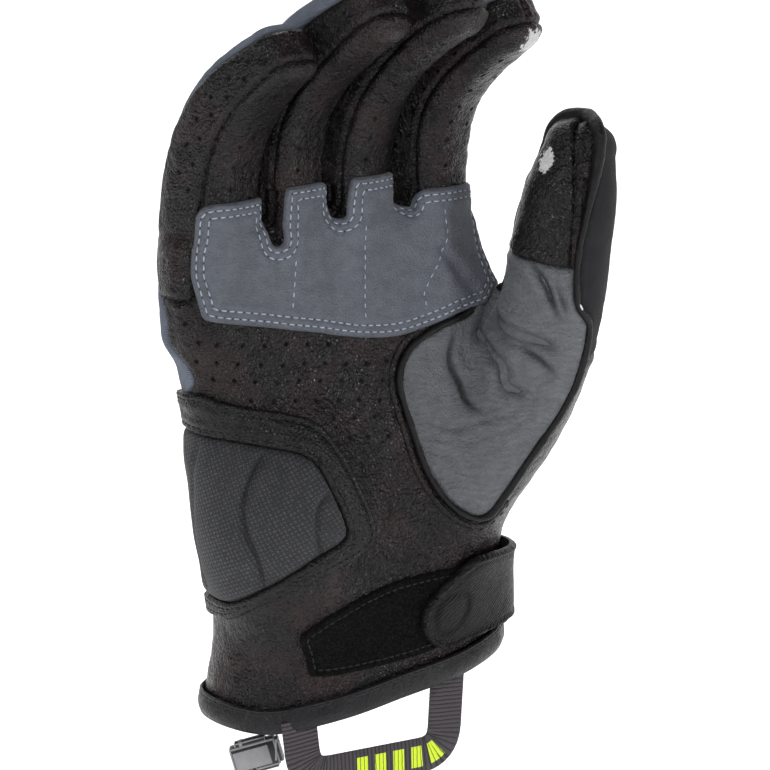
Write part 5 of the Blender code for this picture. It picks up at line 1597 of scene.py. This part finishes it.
def main():
    M = materials()
    coarse, fine, n, a, q, skin = make_all(M)
    light, dark, white = Bits(), Bits(), Bits()

    # grey overlay with its double row and stitched channels
    def overlay_relief(P, d):
        aa, _ = pattern(P)
        low = 0.22 * (np.abs(noise(P, (8, 8, 6), 21)) - 0.4) + 0.1 * noise(P, (3, 3, 2.4), 22)
        low -= 0.3 * bump_of(d - 1.7, 0.55) + 0.3 * bump_of(d - 3.7, 0.55)
        low += 0.2 * bump_of(d - 2.7, 0.6) + 0.2 * bump_of(d - 5.0, 0.9)
        for rows in CHANNELS:
            line = smooth_line(rows, dims=2)
            dd, t = along_line(np.stack([aa, P[:, 2]], -1), line)
            low -= 0.35 * bump_of(dd, 0.8)
        crease_line = smooth_line(((30.0, 136.7), (35.0, 130.3), (40.0, 123.9)), dims=2)
        dd, t = along_line(np.stack([aa, P[:, 2]], -1), crease_line)
        return low - 0.9 * bump_of(dd, 1.8) + 0.3 * bump_of(dd - 4, 2.0)
    over = patch("overlay", "palm_overlay", "grey_microfibre", M["grey_microfibre"], fine, n, overlay_inside, 0.0, 1.5, relief=overlay_relief)
    for row in (1.7, 3.7):
        sew(light, over, over["d"], row, 2.5, size=(0.98, 0.24, 0.24), lift=0.06)
        sew(dark, over, over["d"], row, 2.5, size=(0.2, 0.2, 0.2), lift=0.05, shift=0.5)
    aa, _ = pattern(over["flat"])
    for rows in CHANNELS:
        line = smooth_line(rows, dims=2)
        d, t = along_line(np.stack([aa, over["flat"][:, 2]], -1), line)
        x = np.interp(over["flat"][:, 2], line[::-1, 1], line[::-1, 0])
        ok = (over["d"] > 5.2) & (d < 6)
        value = np.where(ok, aa - x, np.where(aa > x, 50.0, -50.0))
        sel = ok[over["f"]].all(1)
        info = dict(p=over["p"], n=over["n"], f=over["f"][sel])
        sew(dark if False else light, info, value, 0.0, 2.8, size=(0.95, 0.2, 0.2), lift=0.0)

    # heel: frame and padded panel
    frame_line, pad_line = rounded(HEEL_FRAME), rounded(HEEL_PAD)
    in_pad = lambda P: pat(P, pad_line)
    in_frame = lambda P: pat(P, frame_line)

    def frame_relief(P, d):
        return 0.12 * (np.abs(noise(P, (6, 6, 5), 31)) - 0.4) - 0.3 * bump_of(d - 1.9, 0.6) + 0.3 * bump_of(d - 3.8, 1.2)
    fr = patch("heel_frame", "heel_pad_frame", "black_leather", M["frame_leather"], fine, n, in_frame, 0.0, 1.9, hole=in_pad, relief=frame_relief)
    sew(dark, fr, fr["d"], 1.9, 2.4, size=(1.0, 0.24, 0.24))

    def pad_relief(P, d):
        aa, _ = pattern(P)
        low = 0.25 * noise(P, (9, 9, 8), 41)
        for i, rows in enumerate(QUILTING):
            dd, t = along_line(np.stack([aa, P[:, 2]], -1), smooth_line(rows, dims=2))
            low -= (1.5 if i < 2 else 0.6) * bump_of(dd, 1.1) * np.clip(d / 4, 0, 1)
        return low - 0.7 * bump_of(d, 1.2)

    # painted shade: darker along the pad's edge and down its quilted lines, given to the material as crease
    def pad_painted_shade(P, d):
        aa, _ = pattern(P)
        c = 0.7 * bump_of(d, 0.8)
        for i, rows in enumerate(QUILTING):
            dd, t = along_line(np.stack([aa, P[:, 2]], -1), smooth_line(rows, dims=2))
            c = np.maximum(c, (0.75 if i < 2 else 0.3) * bump_of(dd, 0.6))
        return c
    pad_relief.crease = pad_painted_shade
    patch("heel_cushion", "heel_pad", "pad_fabric", M["pad_fabric"], fine, n, in_pad, 0.0,
          lambda P: 1.0 + 1.6 * np.clip(in_pad(P) / 9.0, 0, 1)**0.6, relief=pad_relief)

    # loop patch of the closure
    lp = patch("loop_pad", "loop_patch", "loop_fabric", M["loop_fabric"], fine, n, lambda P: pat(P, LOOP_PATCH), 0.0, 1.5, round_over=0.8,
               relief=lambda P, d: 0.25 * noise(P, (1.5, 1.5, 1.5), 51) + 0.25 * noise(P, (4, 4, 4), 52) - 0.35 * bump_of(d - 2.0, 0.6))
    sew(dark, lp, lp["d"], 2.0, 2.2, size=(0.95, 0.24, 0.24))

    # wrist strap
    lift = lambda P: 2.0 + 1.2 * np.clip((P[:, 0] - 20) / 22, 0, 1)
    in_strap = lambda P: inside_outline(*(lambda c: (c[0], P[:, 2]))(pattern(P)), rounded(WRIST_STRAP, 1))

    def emblem(P):
        """A plain pressed ring."""
        aa, _ = pattern(P)
        x, y = aa - 14.6, P[:, 2] - 31.2 - 0.35 * (aa - 14.6)
        box = np.hypot(x, y) / 5.6
        return bump_of((box - 1) * 5.0, 0.75)

    def strap_relief(P, d):
        return -0.5 * emblem(P) + 0.25 * bump_of(d - 0.9, 0.6) - 0.3 * bump_of(d - 2.2, 0.5) + 0.15 * noise(P, (8, 8, 8), 61)
    # painted shade in the pressed ring, handed to the material as crease
    strap_relief.crease = lambda P, d: 0.75 * emblem(P)
    st = patch("closing_strap", "wrist_strap", "strap_leather", M["strap_leather"], fine, n, in_strap, lift, lambda P: lift(P) + 2.0, round_over=0.9, relief=strap_relief)
    sew(dark, st, st["d"], 2.2, 2.4, size=(1.0, 0.22, 0.22), lift=0.0)

    # binding round the cuff
    e = rim_of(fine.f)
    step = dict((b, a2) for a2, b in e.tolist())
    order, at = [], min(step)
    while at not in order[:1]:
        order.append(at)
        at = step[at]
        if len(order) > len(step):
            break
    p = fine.p[order]
    m = n[order].copy()
    m[:, 2] = 0
    s = np.concatenate([[0], np.cumsum(np.linalg.norm(np.roll(p, -1, axis=0) - p, axis=1))])
    count = 340
    t = np.linspace(0, s[-1], count, endpoint=False)
    p = np.stack([np.interp(t, s, np.append(p[:, k], p[0, k])) for k in range(3)], -1)
    m = np.stack([np.interp(t, s, np.append(m[:, k], m[0, k])) for k in range(3)], -1)
    for _ in range(6):
        p = (np.roll(p, 1, 0) + 2 * p + np.roll(p, -1, 0)) / 4
        m = (np.roll(m, 1, 0) + 2 * m + np.roll(m, -1, 0)) / 4
    m /= np.linalg.norm(m, axis=1)[:, None]
    plump = 0.25 * noise(p, (7, 7, 7), 71)
    front, back, low = 0.55, -SKIN - 0.5, -0.6
    verts, faces, bits_at = [], [], []
    profile = [(front, BINDING - 0.5), (front + 0.55, BINDING), (front + 1.15, BINDING - 0.4), (front + 1.0, BINDING - 1.2), (front + 1.35, BINDING - 2.2), (front + 1.7, 1.6),
               (front + 1.55, 0.0), (front + 0.9, low - 1.2), (front - 0.4, low - 1.7), (back + 0.4, low - 1.7), (back - 0.9, low - 1.2), (back - 1.4, 0.0),
               (back - 1.4, 1.8), (back - 1.1, BINDING - 1.0), (back - 0.5, BINDING), (back, BINDING - 0.5), (back, low), (front, low)]
    k = len(profile)
    for i in range(count):
        for x, z in profile:
            swell = plump[i] if 0 < z < BINDING - 1.5 else 0
            verts.append(p[i] + m[i] * (x + (swell if x > 0 else 0)) + np.array([0, 0, z]))
    for i in range(count):
        j = (i + 1) % count
        for c in range(k):
            d = (c + 1) % k
            faces.append([i * k + c, i * k + d, j * k + d, j * k + c])
    uv = np.stack([np.repeat(t, k), np.tile([z for x, z in profile], count)], -1)
    obj = new_object("cuff_edge", np.array(verts), outward(verts, faces), M["binding_leather"], uv=uv, values={"edge": np.full(len(verts), 3.0)}, smooth_angle=60)
    finish(obj, "binding_leather", "cuff_binding")
    shape = stitch_shape()
    for i in range(0, count, 3):
        ahead = p[(i + 1) % count] - p[i - 1]
        ahead /= np.linalg.norm(ahead)
        up = m[i] - (m[i] @ ahead) * ahead
        up /= np.linalg.norm(up)
        dark.put(shape, p[i] + m[i] * (front + 1.05) + np.array([0, 0, BINDING - 1.3]), ahead, np.cross(up, ahead), up, (1.0, 0.24, 0.24))

    # hanging loop
    path = loop_path()
    tan = np.gradient(path, axis=0)
    tan /= np.linalg.norm(tan, axis=1)[:, None]
    face = LOOP_FACE / np.linalg.norm(LOOP_FACE)
    wide = np.cross(tan, face)
    wide /= np.linalg.norm(wide, axis=1)[:, None]
    out = np.cross(wide, tan)
    along = np.concatenate([[0], np.cumsum(np.linalg.norm(np.diff(path, axis=0), axis=1))])
    cols = 13
    verts, uv, faces = [], [], []
    for i in range(len(path)):
        for side in (1, -1):
            for c in range(cols):
                x = (c / (cols - 1) - 0.5) * LOOP_WIDTH * (1 if side > 0 else -1)
                thick = LOOP_THICK / 2 * (1 - 0.55 * (abs(x) / (LOOP_WIDTH / 2))**6) + 0.06 * math.sin(along[i] * 2 * math.pi / 1.25)
                verts.append(path[i] + wide[i] * x + out[i] * thick * side)
                uv.append((along[i], x + LOOP_WIDTH / 2))
    k = 2 * cols
    for i in range(len(path) - 1):
        for c in range(k):
            d = (c + 1) % k
            faces.append([i * k + c, i * k + d, (i + 1) * k + d, (i + 1) * k + c])
    faces.append(list(range(k))[::-1])
    faces.append([(len(path) - 1) * k + c for c in range(k)])
    obj = new_object("hanging_loop", np.array(verts), outward(verts, faces), M["webbing"], uv=np.array(uv), smooth_angle=60)
    finish(obj, "webbing", "pull_loop")

    clip_pieces(M)

    # piping down the thumb's outer edge
    for i, line in enumerate(seam_chain(fine, ["thumb_palm_panel", "thumb_side_strip", "thumb_tip_panel"], ["thumb_back_panel", "back_panel", "palm_leather"])):
        pts = fine.p[line]
        if pts[:, 0].mean() < 38 or len(pts) < 20:
            continue
        at_all, nm_all, ahead_all = evened(pts, n[line], 0.8)
        bare = overlay_inside(at_all) < -0.4
        starts = [j for j in range(len(bare)) if bare[j] and (j == 0 or not bare[j - 1])]
        for j in starts:
            k = j
            while k < len(bare) and bare[k]:
                k += 1
            if k - j < 12:
                continue
            at, nm, ahead = at_all[j:k], nm_all[j:k], ahead_all[j:k]
            side = np.cross(nm, ahead)
            side /= np.linalg.norm(side, axis=1)[:, None]
            up = np.cross(ahead, side)
            tip = np.clip((at[:, 2] - 146) / 10, 0, 1) * np.clip((at[:, 0] - 52) / 5, 0, 1)
            r = 0.2 * noise(at, (3, 3, 3), 81) + 1.0 * tip
            for high in (131.0, 122.0):
                m = int(np.abs(at[:, 2] - high).argmin())
                if abs(at[m, 2] - high) < 1.5 and at[m, 0] > 45:
                    white.put(stitch_shape(), at[m] + nm[m] * 1.6 - side[m] * 0.4, ahead[m], side[m], nm[m], (1.3, 0.3, 0.3))
            v, f = swept(at, side * (1 + r)[:, None], up * (1 + r)[:, None], ring_section(0.95, 1.35, 12, 0, 0.3))
            obj = new_object("thumb_piping_%d_%d" % (i, j), v, f, M["piping"], values={"edge": np.full(len(v), 2.0)}, smooth_angle=60)
            finish(obj, "black_leather")
            # the second ridge, on the palm's side of the seam
            away = at - np.array([30.0, -28.0, 88.0])
            sign = np.sign((side * away).sum(1))[:, None]
            low = (at[:, 0] < 34) & (at[:, 2] < 113)
            runs = np.where(low)[0]
            if len(runs) > 20 and runs[-1] - runs[0] + 1 == len(runs):
                c = at[runs] + sign[runs] * side[runs] * 2.5
                v, f = swept(c, side[runs], up[runs], ring_section(1.0, 0.75, 10, 0, 0.1))
                obj = new_object("thumb_ridge_%d" % j, v, f, M["black_leather"], values={"edge": np.full(len(v), 2.0)}, smooth_angle=60)
                finish(obj, "black_leather")
                for m in range(0, len(runs), 3):
                    g = runs[m]
                    dark.put(stitch_shape(), at[g] + sign[g] * side[g] * 4.1 + nm[g] * 0.1, ahead[g], side[g], nm[g], (0.95, 0.24, 0.24))

    info = dict(p=skin, n=n, f=fine.f)
    finish(light.made("light_stitches", M["thread_blue"]), "grey_microfibre")
    finish(dark.made("dark_stitches", M["thread_black"]), "black_leather")
    if white.v:
        finish(white.made("thread_ends", M["thread_white"]), "black_leather")


def loop_path():
    a = np.radians(LOOP_TURN)
    right = np.array([np.cos(a), np.sin(a), 0.0])
    rows = np.asarray(LOOP_ROWS, float)
    fine = [rows[0]]
    for i in range(1, len(rows) - 1):
        p, c, nx = rows[i - 1], rows[i], rows[i + 1]
        d1, d2 = (p - c) / np.linalg.norm(p - c), (nx - c) / np.linalg.norm(nx - c)
        r = min(LOOP_CORNER, np.linalg.norm(p - c) * 0.8, np.linalg.norm(nx - c) * 0.45)
        for t in np.linspace(0, 1, 9):
            fine.append((1 - t)**2 * (c + d1 * r) + 2 * t * (1 - t) * c + t**2 * (c + d2 * r))
    fine.append(rows[-1])
    fine = np.asarray(fine)
    s = np.concatenate([[0], np.cumsum(np.linalg.norm(np.diff(fine, axis=0), axis=1))])
    t = np.arange(0, s[-1] + 0.3, 0.3125)
    fine = np.stack([np.interp(t, s, fine[:, k]) for k in range(2)], -1)
    return LOOP_ORIGIN + fine[:, :1] * right + fine[:, 1:] * np.array([0, 0, 1.0])


def block(bm, size, at, bevel=0.3, mat=0, turn=0.0, taper=None):
    """A box with rounded edges in an edit mesh; size and place in mm."""
    made = bmesh.ops.create_cube(bm, size=1.0)["verts"]
    for v in made:
        k = 1.0 if taper is None or v.co.z > 0 else taper
        x, z = v.co.x * size[0] * k, v.co.z * size[2]
        c, s = math.cos(math.radians(turn)), math.sin(math.radians(turn))
        v.co = Vector((at[0] + x * c - z * s, at[1] + v.co.y * size[1], at[2] + x * s + z * c))
    edges = list({e for v in made for e in v.link_edges})
    faces = list({f for v in made for f in v.link_faces})
    for f in faces:
        f.material_index = mat
    if bevel:
        bmesh.ops.bevel(bm, geom=edges, offset=bevel, segments=2, affect="EDGES", profile=0.5)


def clip_pieces(M):
    """The pairing clip: a grey shell with a black slot, notches and rim."""
    w, d, h = CLIP_SIZE
    bm = bmesh.new()
    block(bm, (w - 1.6, d, h - 2.2), (-0.5, 0, -0.2), 0.6, 1)
    block(bm, (w - 4.8, 1.0, h - 4.6), (-1.3, -d / 2 + 0.1, -0.4), 0.3, 0)
    block(bm, (w - 4.8, 1.0, h - 4.6), (-1.3, d / 2 - 0.1, -0.4), 0.3, 0)
    block(bm, (2.2, d - 0.4, h - 3.4), (w / 2 - 1.4, 0, -0.2), 0.4, 1)
    block(bm, (0.6, d + 0.1, h - 4.0), (w / 2 - 1.7, 0, 0.2), 0.15, 0, turn=-16)
    block(bm, (w - 6.0, d - 1.0, 2.2), (-0.8, 0, h / 2 - 1.3), 0.4, 1)
    block(bm, (1.2, d - 0.9, 1.5), (-3.6, 0, h / 2 - 0.9), 0.25, 0)
    block(bm, (w - 3.0, d - 0.2, 1.0), (-0.6, 0, -h / 2 + 0.7), 0.3, 1)
    block(bm, (1.4, d + 0.3, 2.0), (-1.6, 0, -h / 2 + 1.3), 0.2, 1, turn=20)
    mesh = bpy.data.meshes.new("pairing_clip")
    spin = Matrix.Translation(Vector(CLIP_PLACE)) @ Matrix.Rotation(math.radians(CLIP_TURN), 4, "Z") @ Matrix.Rotation(math.radians(CLIP_TILT[1]), 4, "Y")
    bm.transform(Matrix.Scale(MM, 4) @ spin)
    bm.to_mesh(mesh)
    bm.free()
    mesh.materials.append(M["clip_grey"])
    mesh.materials.append(M["clip_black"])
    mesh.shade_smooth()
    mesh.set_sharp_from_angle(angle=math.radians(35))
    obj = bpy.data.objects.new("pairing_clip", mesh)
    bpy.context.scene.collection.objects.link(obj)
    finish(obj, "clip_plastic", "glove_clip")


# ---- camera, light and floor ----------------------------------------------------------
def camera():
    turn, rise, away, scale = math.radians(-30.0), math.radians(12.0), 900.0, 3.3
    back = Vector((math.sin(turn) * math.cos(rise), -math.cos(turn) * math.cos(rise), math.sin(rise)))
    right = Vector((math.cos(turn), math.sin(turn), 0.0))
    up = back.cross(right)
    look = right * ((385 - 351) / scale) + up * ((695 - 385) / scale)
    data = bpy.data.cameras.new("camera")
    data.sensor_width = 36.0
    data.sensor_fit = "HORIZONTAL"
    data.lens = away * scale / 770.0 * 36.0
    data.clip_start, data.clip_end = 0.05, 30.0
    cam = bpy.data.objects.new("camera", data)
    m = Matrix((right, up, back)).transposed().to_4x4()
    m.translation = (look + back * away) * MM
    cam.matrix_world = m
    bpy.context.scene.collection.objects.link(cam)
    bpy.context.scene.camera = cam


def light(name, place, target, size, power, color=(1, 1, 1)):
    data = bpy.data.lights.new(name, "AREA")
    data.shape = "RECTANGLE"
    data.size, data.size_y = size
    data.energy = power
    data.color = color
    obj = bpy.data.objects.new(name, data)
    obj.location = place
    obj.rotation_euler = (Vector(target) - Vector(place)).to_track_quat("-Z", "Y").to_euler()
    bpy.context.scene.collection.objects.link(obj)


def stage():
    """A pale floor well below the held glove, sweeping up behind it."""
    verts, faces = [], []
    floor, near, far, side, bend = -0.16, -0.9, 1.6, 3.2, 1.0
    turn = math.radians(-30.0)
    across, away = (math.cos(turn), math.sin(turn)), (-math.sin(turn), math.cos(turn))
    profile = [(near + (far - near) * i / 8, floor) for i in range(9)]
    for i in range(1, 17):
        t = i / 16 * math.pi / 2
        profile.append((far + bend * math.sin(t), floor + bend * (1 - math.cos(t))))
    profile.append((far + bend, floor + bend + 2.0))
    for d, z in profile:
        for k in range(9):
            s = side * (k / 4 - 1)
            verts.append((across[0] * s + away[0] * d, across[1] * s + away[1] * d, z))
    for i in range(len(profile) - 1):
        for k in range(8):
            faces.append((i * 9 + k, i * 9 + k + 1, (i + 1) * 9 + k + 1, (i + 1) * 9 + k))
    mesh = bpy.data.meshes.new("floor")
    mesh.from_pydata(verts, [], faces)
    mesh.shade_smooth()
    mat = bpy.data.materials.new("pale floor")
    mat.use_nodes = True
    b = mat.node_tree.nodes["Principled BSDF"]
    b.inputs["Base Color"].default_value = (0.9, 0.9, 0.9, 1)
    b.inputs["Roughness"].default_value = 0.9
    b.inputs["Emission Color"].default_value = (1, 1, 1, 1)
    b.inputs["Emission Strength"].default_value = 0.85
    mesh.materials.append(mat)
    obj = bpy.data.objects.new("floor", mesh)
    bpy.context.scene.collection.objects.link(obj)
    world = bpy.data.worlds.new("studio")
    world.use_nodes = True
    world.node_tree.nodes["Background"].inputs[0].default_value = (1, 1, 1, 1)
    world.node_tree.nodes["Background"].inputs[1].default_value = 0.07
    bpy.context.scene.world = world
    light("key", (-0.7, -1.15, 1.2), (0, 0, 0.1), (0.3, 0.3), 12)
    light("right", (0.95, -1.35, 0.25), (0, 0, 0.1), (0.2, 0.6), 9)
    light("left", (-1.6, -0.35, 0.3), (0, 0, 0.1), (0.2, 0.7), 8)
    light("top", (0.2, 0.9, 1.3), (0, 0, 0.12), (0.9, 0.3), 5)
    bpy.context.scene.view_settings.view_transform = "Standard"


camera()
stage()
main()
